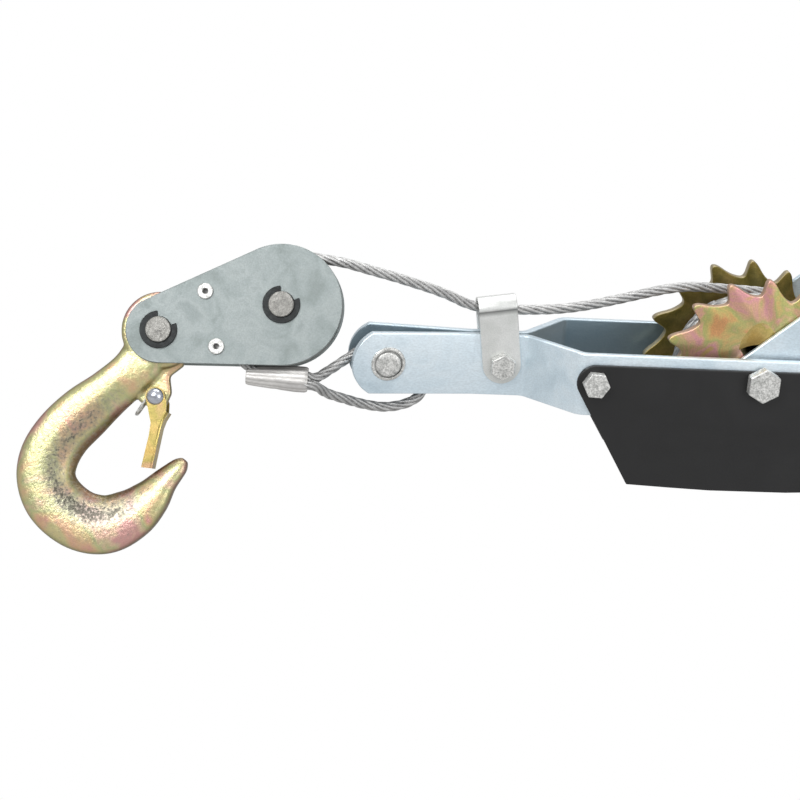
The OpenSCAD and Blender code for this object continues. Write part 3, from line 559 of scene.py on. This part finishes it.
@dataclass
class SideFrame:
    """The two folded bars, the guards, the clip and the fasteners that hold them."""

    bar_t: float = 4.5
    bar_h: float = 35.0
    drop: float = 5.5
    pins: tuple[float, float] = (-204.0, 172.0)
    end_r: float = 20.0
    clip_at: tuple[float, float] = (-140.0, -5.0)
    clip_w: float = 21.5
    clip_t: float = 1.5
    arch: float = 31.5

    def bar(self, side: Side) -> bpy.types.Object:
        """One bar: a rounded rectangle carried along the bar's folded plan line.

        The middle line is offset from the inner faces by half the thickness at
        each mitred corner, and the height at a distance past a pin is that of
        the end's circle, twice the root of r^2 - x^2.

        Args:
            side: near or far.
        Returns:
            The bar.
        """
        lean = self.bar_t / 2 * np.hypot(1, SPREAD)
        half = self.bar_t / 2
        inner = np.array([[-223.9, 0.5 + SPREAD * 67.4 + lean], [-156.5, 0.5 + half + 0.1], [-126.5, 0.5 + half],
                          [-100, 29.5 + half], [100, 29.5 + half], [126.5, 0.5 + half], [136.5, 0.5 + half],
                          [149.5, 5.5 + half], [191.9, 5.5 + half]])
        inner[:, 1] *= side.value
        line = fillet_path(inner, 7.0)
        gone = np.concatenate([[0], np.cumsum(np.linalg.norm(np.diff(line, axis=0), axis=1))])
        at = np.unique(np.concatenate([gone, np.linspace(0, 22, 40), np.linspace(gone[-1] - 22, gone[-1], 40)]))
        line = np.stack([np.interp(at, gone, line[:, k]) for k in (0, 1)], axis=-1)
        along = unit(np.gradient(line, axis=0))
        normal = np.stack([-along[:, 1], along[:, 0]], axis=-1)
        past = np.maximum(np.maximum(self.pins[0] - line[:, 0], line[:, 0] - self.pins[1]), 0)
        tall = np.minimum(self.bar_h, 2 * np.sqrt(np.maximum(self.end_r**2 - past**2, 0.4)))
        ring = rounded_box_ring(self.bar_t, self.bar_h, 0.8)
        shift = np.sign(ring[:, 1])[None] * (tall - self.bar_h)[:, None] / 2
        grid = np.empty((len(line), len(ring), 3))
        grid[..., 0] = line[:, None, 0] + normal[:, None, 0] * ring[None, :, 0]
        grid[..., 1] = line[:, None, 1] + normal[:, None, 1] * ring[None, :, 0]
        grid[..., 2] = ring[None, :, 1] + shift - self.drop
        name = f"{side.name.lower()}_bar"
        piece = Shell().add(grid).piece(name + "_folded")
        # painted shade: the faces turned to the inside of the frame take the zinc's dark edge colour
        wall_weight(piece, np.array([0, -side.value, 0.0]), one_way=True)
        return dress(piece, ZINC, "frame", (name,))

    def clip(self) -> bpy.types.Object:
        """The cable clip: a thin rounded strip carried over an arch, with round feet.

        The path runs up one leg, round a half circle and down the other, and
        below the bolt the width is twice the root of r^2 - z^2. The half circle
        stands out 0.6 mm over the legs, which leaves a crease where they meet.
        """
        inner, half_w = 5.0, self.clip_w / 2
        radius = inner + self.clip_t / 2
        up = np.concatenate([-half_w * np.cos(np.linspace(0.06, np.pi / 2, 14)), np.linspace(1, self.arch, 12)])
        a = np.linspace(0, np.pi, 41)[1:-1]
        out = radius + 0.6 * np.minimum(np.sin(a) / 0.16, 1)
        ys = np.concatenate([np.full(len(up), -radius), -out * np.cos(a), np.full(len(up), radius)])
        zs = np.concatenate([up, self.arch + out * np.sin(a), up[::-1]])
        line = np.stack([ys, zs], axis=-1)
        # painted shade along the crease where the arch meets the legs, drawn with the edge colour
        crease = np.exp(-((zs - self.arch - 0.2) / 0.55) ** 2)
        along = unit(np.gradient(line, axis=0))
        normal = np.stack([-along[:, 1], along[:, 0]], axis=-1)
        wide = np.where(zs < 0, 2 * np.sqrt(np.maximum(half_w**2 - zs**2, 0.2)), self.clip_w)
        ring = rounded_box_ring(self.clip_w, self.clip_t, 0.55)
        shift = np.sign(ring[:, 0])[None] * (wide - self.clip_w)[:, None] / 2
        grid = np.empty((len(line), len(ring), 3))
        grid[..., 0] = ring[None, :, 0] + shift
        grid[..., 1] = line[:, None, 0] + normal[:, None, 0] * ring[None, :, 1]
        grid[..., 2] = line[:, None, 1] + normal[:, None, 1] * ring[None, :, 1]
        place = WINCH.inside((self.clip_at[0], 0, self.clip_at[1]), turn("y", -9))
        weight = np.broadcast_to(crease[:, None], grid.shape[:2])
        piece = Shell().add(grid, weight=weight).piece("cable_clip_bent", place)
        return dress(piece, CLIP_ZINC, "frame", ("cable_clip",))

    def riveted_pin(self, node: str, x: float, slope: float) -> bpy.types.Object:
        """A pin swaged over at both ends: a turned profile with a groove between its face and its rim.

        The rims lean with the bars' faces by shearing y with x, and the pin's
        own end stands a little proud of them.

        Args:
            node: the CAD node.
            x: the pin's place along the frame.
            slope: how much the bars spread for each millimetre forward.
        """
        half = np.array([[0.3, 12.2], [4.5, 12.2], [6.3, 12.0], [6.9, 11.6], [7.1, 10.7], [7.6, 10.6], [7.9, 11.2],
                         [8.5, 11.3], [9.3, 11.0], [9.65, 10.5], [9.65, 9.6], [7.7, 9.3], [7.7, 7.0]])
        profile = np.concatenate([half * (1, -1), half[::-1]])
        a = np.linspace(0, 2 * np.pi, 72, endpoint=False)[None]
        r, y = profile[:, :1], profile[:, 1:] + 0 * a
        lean = np.where(r > 7.0, slope, 0.0) * r * np.cos(a)
        grid = np.stack([x + r * np.cos(a), y - np.sign(y) * lean, -self.drop + r * np.sin(a)], axis=-1)
        # painted shade in the groove between the pin's face and its rim, drawn with the edge colour
        painted_groove_shade = np.exp(-((r - 7.35) / 0.35) ** 2) * (np.abs(profile[:, 1:]) > 10.2) + 0 * a
        piece = Shell().add(grid, weight=painted_groove_shade).piece(node + "_swaged", sharp=50)
        return dress(piece, FASTENER, "frame", (node,))

    def build(self) -> None:
        """Makes the bars, the clip and the riveted pins, and breaks the edges of the guards and fasteners."""
        self.bar(Side.NEAR)
        self.bar(Side.FAR)
        self.clip()
        for node, trim in (("near_guard", 0.0), ("far_guard", 1.6)):
            guard = softened(node, 0.5)
            for vertex in guard.data.vertices:
                x, z = np.array(vertex.co)[[0, 2]] * 1000 - AXLE[[0, 2]]
                if x < -60 and z < -4:
                    vertex.co.x += trim / 1000 * min((-4 - z) / 12, 1)
            dress(guard, BLACK_PAINT, "frame", (node,))
        self.riveted_pin("front_pin", self.pins[0], SPREAD)
        self.riveted_pin("rear_pin", self.pins[1], 0.0)
        for node, edge in (("clip_bolt", 0.5), ("clip_nut", 0.5),
                           ("guard_bolts", 0.5), ("axle_bolt", 0.6), ("axle_nut", 0.6),
                           ("axle_washers", 0.4), ("pawl_bolt", 0.5), ("pawl_nut", 0.5), ("holding_spring", 0.0)):
            dress(softened(node, max(edge, 0.05)), FASTENER, "frame", (node,))
        dress(softened("holding_pawl", 0.5, SIDEWAYS), CHROMATE_PLATE, "holding_pawl", ("holding_pawl",))


@dataclass
class Drum:
    """The ratchet wheels, the barrel and the rope stored on it."""

    tip_r: float = 54.5
    teeth: int = 15
    phase: float = 113.8
    thick: float = 5.0
    gap: float = 38.0
    window: tuple[float, float, float] = (10.5, 19.0, 36.0)
    tooth: tuple[tuple[float, float], ...] = (
        (0, -1.6), (0.9, -0.3), (2.2, 0), (4.2, -0.9), (6.8, -3.2), (9.5, -5.7), (13, -7.9), (17, -9.3), (20, -9.6),
        (21.6, -8.8), (22.6, -7.2), (23.4, -4.2))
    rope_r: float = 2.75
    layers: tuple[float, float] = (35.3, 40.85)

    def wheel(self, side: Side) -> bpy.types.Object:
        """One ratchet wheel: the tooth outline repeated round, with soft edges and three windows.

        A tooth is a closed smooth curve of radius against angle past its
        leading corner, falling slowly over its back and rising steeply at the
        next. The windows are sectors of a ring, cut through by a boolean.

        Args:
            side: near or far.
        Returns:
            The wheel.
        """
        past, drop = np.array(self.tooth).T
        knots = np.concatenate([[past[-1] - 24], past, [24, 24 + past[1]]])
        falls = np.concatenate([[drop[-1]], drop, [drop[0], drop[1]]])
        at = np.linspace(0, 24, 33)[:-1]
        soft = smooth_line(np.stack([knots, falls, 0 * knots], axis=-1), 0.12)
        fall = np.interp(at, soft[:, 0], soft[:, 1])
        angle = np.radians(self.phase - np.arange(self.teeth)[:, None] * 360 / self.teeth - at[None])
        radius = self.tip_r + np.broadcast_to(fall, angle.shape)
        outline = np.stack([radius * np.cos(angle), radius * np.sin(angle)], axis=-1).reshape(-1, 2)
        y = side.value * self.gap / 2
        node = f"{side.name.lower()}_ratchet"
        plate = Shell().add(rounded_plate(outline, y - self.thick / 2, y + self.thick / 2, 0.7)).piece(node + "_wheel")
        cutter = self.windows(y)
        cut = plate.modifiers.new("windows", "BOOLEAN")
        cut.operation, cut.solver, cut.object = "DIFFERENCE", "EXACT", cutter
        solid = plate.evaluated_get(bpy.context.evaluated_depsgraph_get())
        plate.data = bpy.data.meshes.new_from_object(solid)
        plate.modifiers.clear()
        bpy.data.objects.remove(cutter)
        plate.data.shade_smooth()
        plate.data.set_sharp_from_angle(angle=np.radians(35))
        wall_weight(plate, SIDEWAYS)
        finish = CHROMATE_PLATE if side is Side.NEAR else CHROMATE_DARK
        return dress(plate, finish, "drum", (node,))

    def windows(self, y: float) -> bpy.types.Object:
        """The three sectors that the windows remove, as one closed piece through the wheel at depth y."""
        inner, outer, half = self.window
        a = np.radians(np.linspace(-half, half, 17))
        sector = np.concatenate([outer * np.stack([np.cos(a), np.sin(a)], -1),
                                 inner * np.stack([np.cos(a[::-1]), np.sin(a[::-1])], -1)])
        shell = Shell()
        for middle in (90, 210, 330):
            c, s = np.cos(np.radians(middle)), np.sin(np.radians(middle))
            turned = sector @ np.array([[c, s], [-s, c]])
            rows = [np.stack([turned[:, 0], np.full(len(turned), y + d), turned[:, 1]], -1) for d in (-9.0, 9.0)]
            shell.add(np.stack(rows))
        return shell.piece("window_cutter")

    def louver(self) -> bpy.types.Object:
        """The hood pressed up over the near wheel's top window, open along its lower edge.

        It stands off the face by 0.9 root(1 - u^4) (1 - v^2) mm over its width u
        and its height v, so that it meets the face along its upper edge.
        """
        u = np.linspace(-1, 1, 41)[:, None]
        v = np.linspace(0, 1, 13)[None]
        face = -(self.gap + self.thick) / 2
        wide = self.window[1] * np.sin(np.radians(self.window[2]))
        x = wide * u * (1 - 0.12 * v**2) + 0 * v
        z = self.window[1] * np.sqrt(1 - (0.59 * u) ** 2) - 1.2 + (12.5 - 5.5 * u**2) * v
        y = face - 0.9 * np.sqrt(np.maximum(1 - u**4, 0)) * (1 - v**2) + 0.02
        top = np.stack([x, y, z], axis=-1)
        back = np.stack([x, np.minimum(y + 0.8, face + 0.6) + 0 * z, z], axis=-1)
        # painted shade: strongest along the hood's open lower edge, light over the rest of the hood
        lip = 0.25 + 0.65 * np.exp(-(v / 0.3) ** 2) + 0 * u
        weight = np.concatenate([lip, 0 * lip[:, ::-1]], axis=1)
        piece = Shell().add(np.concatenate([top, back[:, ::-1]], axis=1), weight=weight).piece("near_ratchet_hood")
        return dress(piece, CHROMATE_SHEET, "drum", ())

    def winding(self) -> bpy.types.Object:
        """The stored rope: two helices on the barrel, a fluted round section carried round each."""
        shell = Shell()
        for radius, y0, y1 in ((self.layers[0], 13.6, -2), (self.layers[1], -13.6, -3.0)):
            turns = abs(y1 - y0) / (2 * self.rope_r + 0.05)
            a = np.linspace(0, 2 * np.pi * turns, int(turns * 130))
            y = np.linspace(y0, y1, len(a))
            path = np.stack([radius * np.sin(a), y, radius * np.cos(a)], axis=-1)
            # the groove depth weights the painted shade between the strands
            grid, groove = fluted_tube(path, self.rope_r, 18)
            shell.add(grid, weight=groove)
        piece = shell.piece("cable_winding_turns", sharp=60)
        return dress(piece, ROPE, "drum", ("cable_winding",))

    def build(self) -> None:
        """Makes the wheels and the stored rope, and dresses the barrel and its hub."""
        self.wheel(Side.NEAR)
        self.wheel(Side.FAR)
        self.louver()
        self.winding()
        for node in ("drum_barrel", "drum_hub"):
            dress(softened(node, 0.3, SIDEWAYS), CHROMATE_PLATE, "drum", (node,))


def fluted_tube(path: np.ndarray, radius: float, around: int, lay: float = 42.0) -> tuple[np.ndarray, np.ndarray]:
    """Stranded rope: six round strands seen as one fluted section that twists along the path.

    A strand's circle of radius r/3 centred at 2r/3 gives the section's radius
    at angle p from that strand as 2r/3 cos p + root((r/3)^2 - (2r/3 sin p)^2),
    and the section turns once in each lay length.

    Args:
        path: points along the rope, in mm.
        radius: radius over the strands.
        around: points round the section.
        lay: length of one turn of the strands.
    Returns:
        A grid of points, rows by columns by 3, and how deep in a groove each lies, from 0 to 1, which weights the
        painted shade between the strands.
    """
    gone = np.concatenate([[0], np.cumsum(np.linalg.norm(np.diff(path, axis=0), axis=1))])
    across, up = carried_frames(path)
    a = np.linspace(0, 2 * np.pi, around, endpoint=False)[None]
    twist = (2 * np.pi * gone / lay)[:, None]
    p = (a - twist + np.pi / 6) % (np.pi / 3) - np.pi / 6
    far, strand = 2 * radius / 3, radius / 3
    r = far * np.cos(p) + np.sqrt(np.maximum(strand**2 - (far * np.sin(p)) ** 2, 0))
    grid = path[:, None] + r[..., None] * (np.cos(a)[..., None] * across[:, None] + np.sin(a)[..., None] * up[:, None])
    return grid, np.clip((radius - r) / (0.42 * radius), 0, 1) ** 1.3


@dataclass
class Cable:
    """The running rope from the drum through the clip, round the sheave and back to the front pin."""

    radius: float = 2.8
    sheave_r: float = 29.5
    run: tuple[tuple[float, float, float], ...] = (
        (6, 3, 40.8), (-5, 3, 41.4), (-16, 3, 41.8), (-27, 3, 42.1), (-37, 3, 42), (-48, 2.5, 40.6), (-58, 2, 38.4),
        (-69, 1.5, 35.6), (-80, 1, 32.8), (-91, 0.5, 30.2), (-102, 0, 28.1), (-113, 0, 26.6), (-124, 0, 25.8),
        (-135, 0, 25.4), (-145, 0, 25.5), (-155, 0, 26.2), (-163, 0, 28.2), (-172, 0, 32), (-182, 0, 35.4),
        (-192, 0, 38.2), (-202, 0.5, 40.8), (-212, 1.3, 43), (-222, 2.6, 45.1), (-232, 4.2, 46.9))
    tail: tuple[tuple[float, float, float], ...] = (
        (-30.3, 0, -9), (-30.2, 0, -15), (-29.2, 0, -20.5), (-26.8, 0, -26), (-22.8, 0, -30.4), (-17, 0, -33.2),
        (-8, 0, -35.9), (2, 0, -38.4))
    eye: tuple[tuple[float, float, float], ...] = (
        (-244.5, -15, -13.6), (-237, -10.6, -10.8), (-229, -5.2, -7), (-221, -1.6, -2.4), (-213.5, 0.4, 2.6),
        (-206, 0.8, 5.4), (-198.5, 0.6, 4.6), (-191, 0.2, 0.2), (-185.5, 0, -6.5), (-182.2, 0, -14), (-181.4, 0, -21),
        (-184.5, -0.5, -27.2), (-192, -1.5, -31.4), (-203, -3, -33), (-215, -5.4, -31), (-227, -9.4, -26.8),
        (-237, -13.4, -22.6))
    back: tuple[tuple[float, float, float], ...] = ((8, 0, -45.9), (0, 0, -44), (-7, 0, -42.4))

    def route(self) -> np.ndarray:
        """The rope's middle line, smoothed through points along the CAD tube, a few mm off it at the eye."""
        a = np.radians(np.linspace(58, 182, 9))
        wrap = self.sheave_r * np.stack([np.cos(a), 0 * a, np.sin(a)], axis=-1)
        points = [np.array(self.run), BLOCK.out(wrap), BLOCK.out(np.array(self.tail)), np.array(self.eye),
                  BLOCK.out(np.array(self.back))]
        return smooth_line(np.concatenate(points).astype(float), 0.9)

    def ferrule(self) -> bpy.types.Object:
        """The pressed sleeve: an oval that widens along its length, with shallow ridges from the press.

        The half height grows from 4.9 to 7.1 mm, the half width stays near 3.8,
        and six ridges ripple the section by a tenth of a millimetre.
        """
        start, end = np.array([-27.0, 0, -33.1]), np.array([5.5, 0, -42.2])
        along = unit(end - start)
        up = np.array([-along[2], 0, along[0]])
        t = np.linspace(0, 1, 41)[:, None]
        a = np.linspace(0, 2 * np.pi, 84, endpoint=False)[None]
        lip = 1 - 0.08 * np.exp(-t / 0.02) - 0.1 * np.exp(-(1 - t) / 0.02)
        tall = (4.9 + 2.2 * np.minimum(t / 0.8, 1) ** 0.8) * lip
        wide = 3.75 * lip
        ridge = 0.5 + 0.5 * np.cos(14 * a)
        ripple = 1 - 0.035 * ridge - 0.03 * np.exp(-((t - 0.5) / 0.05) ** 2)
        grid = (start + (end - start) * t[..., None] * 0.999 + (tall * ripple * np.sin(a))[..., None] * up
                + (wide * ripple * np.cos(a))[..., None] * SIDEWAYS)
        # painted shade in the troughs between the ridges, through the edge colour
        weight = np.broadcast_to(ridge**2, grid.shape[:2])
        piece = Shell().add(grid, weight=weight).piece("cable_ferrule_pressed", BLOCK, 50)
        return dress(piece, ALUMINIUM, "frame", ("cable_ferrule",))

    def build(self) -> None:
        """Makes the rope in three lengths, and its ferrule.

        The first runs from the drum round the sheave, between the clip and the
        block, the second runs between the block and the ferrule, and the third is
        the eye that stays on the frame.
        """
        route = self.route()
        # the groove depth weights the painted shade between the strands
        grid, groove = fluted_tube(route, self.radius, 30)
        leaves, enters = BLOCK.out(np.array([[-30.2, 0, -15.0], [-22.8, 0, -30.4]]))
        i, j = (int(np.argmin(np.linalg.norm(route - p, axis=1))) for p in (leaves, enters))
        for name, part, start, end in (
                ("cable_run", slice(0, i + 1), (-232.0, 4.2, 46.9), (-157.0, 0.0, 27.0)),
                ("cable_return", slice(i, j + 1), leaves, enters)):
            piece = Shell().add(grid[part], weight=groove[part]).piece(name, sharp=60)
            piece.data.materials.append(ROPE.material())
            start, end = (tuple(((np.array(p) + AXLE) / 1000).tolist()) for p in (start, end))
            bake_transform(piece)
            LOG.info("%s: %d faces", name, len(piece.data.polygons))
            if name == "cable_run":
                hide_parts("cable")
        eye = Shell().add(grid[j:], weight=groove[j:]).piece("cable_eye", sharp=60)
        dress(eye, ROPE, "frame", ())
        self.ferrule()


@dataclass
class Handle:
    """The lever: two side plates on the axle, a tube with a grip, and the driving pawl."""

    def build(self) -> None:
        """Breaks the edges of the lever's pieces and dresses them."""
        side = HANDLE.turned @ SIDEWAYS
        for node in ("handle_near_plate", "handle_far_plate", "handle_tube"):
            dress(softened(node, 0.6), ZINC, "handle", (node,))
        dress(softened("handle_grip", 1.6), RUBBER, "handle", ("handle_grip",))
        for node in ("handle_rivets", "drive_pawl_pin", "drive_spring"):
            dress(softened(node, 0.05 if node == "drive_spring" else 0.8), FASTENER, "handle", (node,))
        dress(softened("drive_pawl", 0.5, side), CHROMATE_PLATE, "drive_pawl", ("drive_pawl",))


@dataclass
class PulleyBlock:
    """The block that runs on the rope: two plates, the sheave, its pins and rings."""

    def build(self) -> None:
        """Breaks the edges of the block's pieces and dresses them."""
        side = BLOCK.turned @ SIDEWAYS
        for node in ("block_near_plate", "block_far_plate"):
            dress(softened(node, 0.7, side), DULL_ZINC, "block", (node,))
        for node in ("sheave_pin", "hook_pin"):
            dress(softened(node, 0.5), PIN_STEEL, "block", (node,))
        dress(softened("block_circlips", 0.2), BLACK_STEEL, "block", ("block_circlips",))
        for node in ("block_spacers", "block_rivets"):
            dress(softened(node, 0.4), FASTENER, "block", (node,))
        dress(softened("sheave", 0.5), PIN_STEEL, "sheave", ("sheave",))


@dataclass
class Hook:
    """A forged hook with its sprung latch; both hooks of the winch are this one, placed twice."""

    name: str
    body: str
    place: Place
    eye_half: float
    eye_r: float = 21.0
    bowl_half: float = 8.5
    stations: tuple[tuple[float, float, float], ...] = (
        (-10, 1, 13.5), (-26, 5, 12.5), (-41.5, 12.5, 13), (-57, 20.5, 15), (-72.5, 27, 15.5), (-87, 29, 16),
        (-99, 25.5, 16), (-108, 15.5, 16.5), (-112, 0, 16.5), (-108.5, -14, 16), (-98, -24.5, 14), (-86.5, -30.5, 11),
        (-75, -34, 7.5), (-65, -38, 5.2), (-59.5, -40, 3.6))
    lug: tuple[tuple[float, float], ...] = (
        (-8, -17), (-12.5, -19.5), (-21, -14.5), (-29, -19), (-37, -19), (-41, -13), (-40, -4), (-20, 0))

    def forging(self) -> bpy.types.Object:
        """The hook: rounded sections carried along its bent line, fused with the eye and the latch's lug.

        A section is a superellipse |x/a|^p + |y/b|^p = 1, whose half width a
        comes from the stations and whose half thickness b eases from the eye's
        to the bowl's, falls again towards the tip, and falls by up to two
        fifths towards the inside of the bowl, as the dies leave it.
        """
        flat = np.array(self.stations, float)
        line = smooth_line(np.stack([flat[:, 0], 0 * flat[:, 0], flat[:, 1], flat[:, 2]], axis=-1), 1.5)
        gone = np.linspace(0, 1, len(line))
        along = unit(np.gradient(line[:, :3], axis=0))
        normal = np.stack([-along[:, 2], 0 * along[:, 0], along[:, 0]], axis=-1)
        reach = np.hypot(line[:, 0], line[:, 2])
        ease = np.clip((reach - 20) / 16, 0, 1)
        half = self.eye_half + (self.bowl_half - self.eye_half) * ease * ease * (3 - 2 * ease)
        half = half * (1 - 0.45 * np.clip((gone - 0.78) / 0.22, 0, 1) ** 1.5)
        a = np.linspace(0, 2 * np.pi, 56, endpoint=False)[None]
        ca, sa = np.cos(a), np.sin(a)
        box = (np.abs(ca) ** 3.4 + np.abs(sa) ** 3.4) ** (-1 / 3.4)
        thin = 1 - 0.4 * ease[:, None] * np.clip(box * ca + 0.15, 0, 1.15) ** 1.5
        close = np.sqrt(np.clip(1 - np.clip((gone - 0.975) / 0.03, 0, 1) ** 2, 0.03, 1))[:, None]
        grid = (line[:, None, :3] + (line[:, 3:4] * close * box * ca)[..., None] * normal[:, None]
                + (half[:, None] * thin * close * box * sa)[..., None] * SIDEWAYS)
        shell = Shell().add(grid)
        turn_a = np.linspace(0, 2 * np.pi, 72, endpoint=False)
        disc = self.eye_r * np.stack([np.cos(turn_a), np.sin(turn_a)], axis=-1)
        shell.add(rounded_plate(disc, -self.eye_half, self.eye_half, 2.5, 5))
        lug = fillet_path(np.array(self.lug + self.lug[:2], float), 2.0, 4)[1:-1]
        shell.add(rounded_plate(lug, -3.0, 3.0, 0.8))
        piece = shell.piece(self.name + "_forged", self.place, 180)
        fuse = piece.modifiers.new("fuse", "REMESH")
        fuse.mode, fuse.voxel_size, fuse.use_smooth_shade = "VOXEL", 0.0009, True
        ease_out = piece.modifiers.new("ease", "SMOOTH")
        ease_out.factor, ease_out.iterations = 0.5, 5
        solid = piece.evaluated_get(bpy.context.evaluated_depsgraph_get())
        piece.data = bpy.data.meshes.new_from_object(solid)
        piece.modifiers.clear()
        wall_weight(piece, self.place.turned @ SIDEWAYS)
        self.wear(piece, line, normal)
        return dress(piece, CHROMATE, self.body, (self.name,))

    def wear(self, piece: bpy.types.Object, line: np.ndarray, normal: np.ndarray) -> None:
        """Stores a "worn" attribute: the pitted band that the dies leave along the bowl's inner half.

        For a point at u half widths from the nearest station towards the
        inside, the weight is b exp(-((u - 0.3) / 0.42)^2), where b rises from
        0.36 on the limb to 0.64 in the bowl, fading out at the eye and at the
        tip. The inner rim, past 0.64 half widths, joins the walls.

        Args:
            piece: the forging.
            line: stations as x, y, z and half width, in the hook's own frame.
            normal: direction to the inside at each station.
        """
        flat = np.empty(len(piece.data.vertices) * 3)
        piece.data.vertices.foreach_get("co", flat)
        own = (flat.reshape(-1, 3) * 1000 - AXLE - self.place.at) @ self.place.turned
        apart = own[:, None, [0, 2]] - line[None, :, [0, 2]]
        nearest = np.argmin(np.sum(apart**2, axis=-1), axis=1)
        rows = np.arange(len(own))
        u = np.sum(apart[rows, nearest] * normal[nearest][:, [0, 2]], axis=-1) / line[nearest, 3]
        along = nearest / len(line)
        fade = np.clip((along - 0.12) / 0.12, 0, 1) * np.clip((0.93 - along) / 0.15, 0, 1)
        bowl = 0.36 + 0.28 * np.exp(-(((along - 0.66) / 0.15) ** 2))
        walls = piece.data.attributes["wall"].data
        weight = np.empty(len(own), dtype=np.float32)
        walls.foreach_get("value", weight)
        rim = 0.85 * np.clip((u - 0.64) / 0.2, 0, 1) * np.clip((along - 0.1) / 0.1, 0, 1)
        walls.foreach_set("value", np.maximum(weight, rim).astype(np.float32))
        store = piece.data.attributes.new("worn", "FLOAT", "POINT")
        store.data.foreach_set("value", (fade * bowl * np.exp(-(((u - 0.3) / 0.42) ** 2))).astype(np.float32))

    def build(self) -> None:
        """Makes the forging and dresses its latch, rivet and spring."""
        side = self.place.turned @ SIDEWAYS
        self.forging()
        stem = self.name.replace("hook", "latch")
        # the latch's folds take painted shade through the sheet finish's edge colour
        dress(softened(stem, 0.35, side), CHROMATE_SHEET, stem, (stem,))
        dress(softened(stem + "_rivet", 0.3), RIVET_STEEL, self.body, (stem + "_rivet",))
        dress(softened(stem + "_spring", 0.05), FASTENER, self.body, (stem + "_spring",))


@dataclass
class Studio:
    """The pale floor, the soft lights and the camera."""

    eye: tuple[float, float, float] = (-398.3, -1288.8, 419.6)
    look: tuple[float, float, float] = (0.1479, 0.9339, -0.3256)
    roll: float = 5.0
    lens: float = 111.8
    paper: tuple[float, float] = (20.0, -0.34)

    def camera(self) -> None:
        """Places the camera: looking along one direction, rolled a little clockwise about it."""
        ahead = unit(np.array(self.look))
        right = unit(np.cross(ahead, np.array([0, 0, 1.0])))
        up = np.cross(right, ahead)
        c, s = np.cos(np.radians(self.roll)), np.sin(np.radians(self.roll))
        across, above = c * right + s * up, c * up - s * right
        lens = bpy.data.cameras.new("camera")
        lens.lens, lens.sensor_width, lens.clip_start = self.lens, 36.0, 0.05
        camera = bpy.data.objects.new("camera", lens)
        bpy.context.scene.collection.objects.link(camera)
        where = (np.array(self.eye) + AXLE) / 1000
        camera.matrix_world = Matrix.Translation(Vector(where)) @ Matrix(
            np.stack([across, above, -ahead], axis=1).tolist()).to_4x4()
        bpy.context.scene.camera = camera

    def light(self, name: str, at: tuple[float, float, float], size: float, power: float) -> None:
        """Adds a square soft light that faces the winch.

        Args:
            name: the light's name.
            at: its place in metres.
            size: its width in metres.
            power: its power in watts.
        """
        data = bpy.data.lights.new(name, "AREA")
        data.size, data.energy = size, power
        lamp = bpy.data.objects.new(name, data)
        bpy.context.scene.collection.objects.link(lamp)
        lamp.location = at
        lamp.rotation_euler = (Vector((-0.4, 0, 0)) - Vector(at)).to_track_quat("-Z", "Y").to_euler()

    def floor(self) -> None:
        """Lays a wide sheet of glowing white paper under the winch."""
        far, low = self.paper
        mesh = bpy.data.meshes.new("floor")
        mesh.from_pydata([(-far, -far, low), (far, -far, low), (far, far, low), (-far, far, low)], [], [(0, 1, 2, 3)])
        sheet = bpy.data.objects.new("floor", mesh)
        bpy.context.scene.collection.objects.link(sheet)
        paper = bpy.data.materials.new("white_backdrop_paper")
        paper.use_nodes = True
        tree = paper.node_tree
        tree.nodes.clear()
        seen = put(tree, "ShaderNodeLightPath")
        glow = put(tree, "ShaderNodeMapRange", {"To Min": 0.6, "To Max": 1.0},
                   {"Value": seen.outputs["Is Camera Ray"]})
        shine = put(tree, "ShaderNodeEmission", {"Color": linear("#ffffff")}, {"Strength": glow.outputs["Result"]})
        put(tree, "ShaderNodeOutputMaterial", {}, {"Surface": shine.outputs["Emission"]})
        mesh.materials.append(paper)

    def surroundings(self) -> None:
        """Surrounds the winch with white that dims towards the ground."""
        world = bpy.data.worlds.new("studio")
        world.use_nodes = True
        tree = world.node_tree
        tree.nodes.clear()
        coords = put(tree, "ShaderNodeTexCoord")
        split = put(tree, "ShaderNodeSeparateXYZ", {}, {0: coords.outputs["Generated"]})
        ramp = put(tree, "ShaderNodeValToRGB", {}, {"Fac": split.outputs["Z"]})
        for index, (stop, colour) in enumerate(((0.0, (0.5, 0.51, 0.53, 1)), (0.8, (1.0, 1.0, 1.0, 1)))):
            element = ramp.color_ramp.elements[index]
            element.position, element.color = stop, colour
        seen = put(tree, "ShaderNodeLightPath")
        glow = put(tree, "ShaderNodeMapRange", {"To Min": 0.66, "To Max": 1.0},
                   {"Value": seen.outputs["Is Camera Ray"]})
        back = put(tree, "ShaderNodeBackground", {},
                   {"Color": ramp.outputs["Color"], "Strength": glow.outputs["Result"]})
        put(tree, "ShaderNodeOutputWorld", {}, {"Surface": back.outputs["Background"]})
        bpy.context.scene.world = world

    def build(self) -> None:
        """Sets the floor, the surroundings, the lights and the camera."""
        self.floor()
        self.surroundings()
        self.light("key", (-1.6, -1.6, 1.5), 1.2, 34)
        self.light("fill", (0.9, -1.9, 0.7), 1.4, 13)
        self.light("top", (-0.3, 0.5, 1.8), 1.6, 22)
        bpy.context.scene.view_settings.view_transform = "Standard"
        self.camera()


def main() -> None:
    """Builds every sub-assembly in order."""
    logging.basicConfig(level=logging.INFO, format="%(message)s")
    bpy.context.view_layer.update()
    Studio().build()
    SideFrame().build()
    Drum().build()
    Cable().build()
    Handle().build()
    PulleyBlock().build()
    Hook("load_hook", "load_hook", LOAD_HOOK, 7.2).build()
    Hook("anchor_hook", "anchor_hook", ANCHOR_HOOK, 5.2).build()


if __name__ == "__main__":
    main()
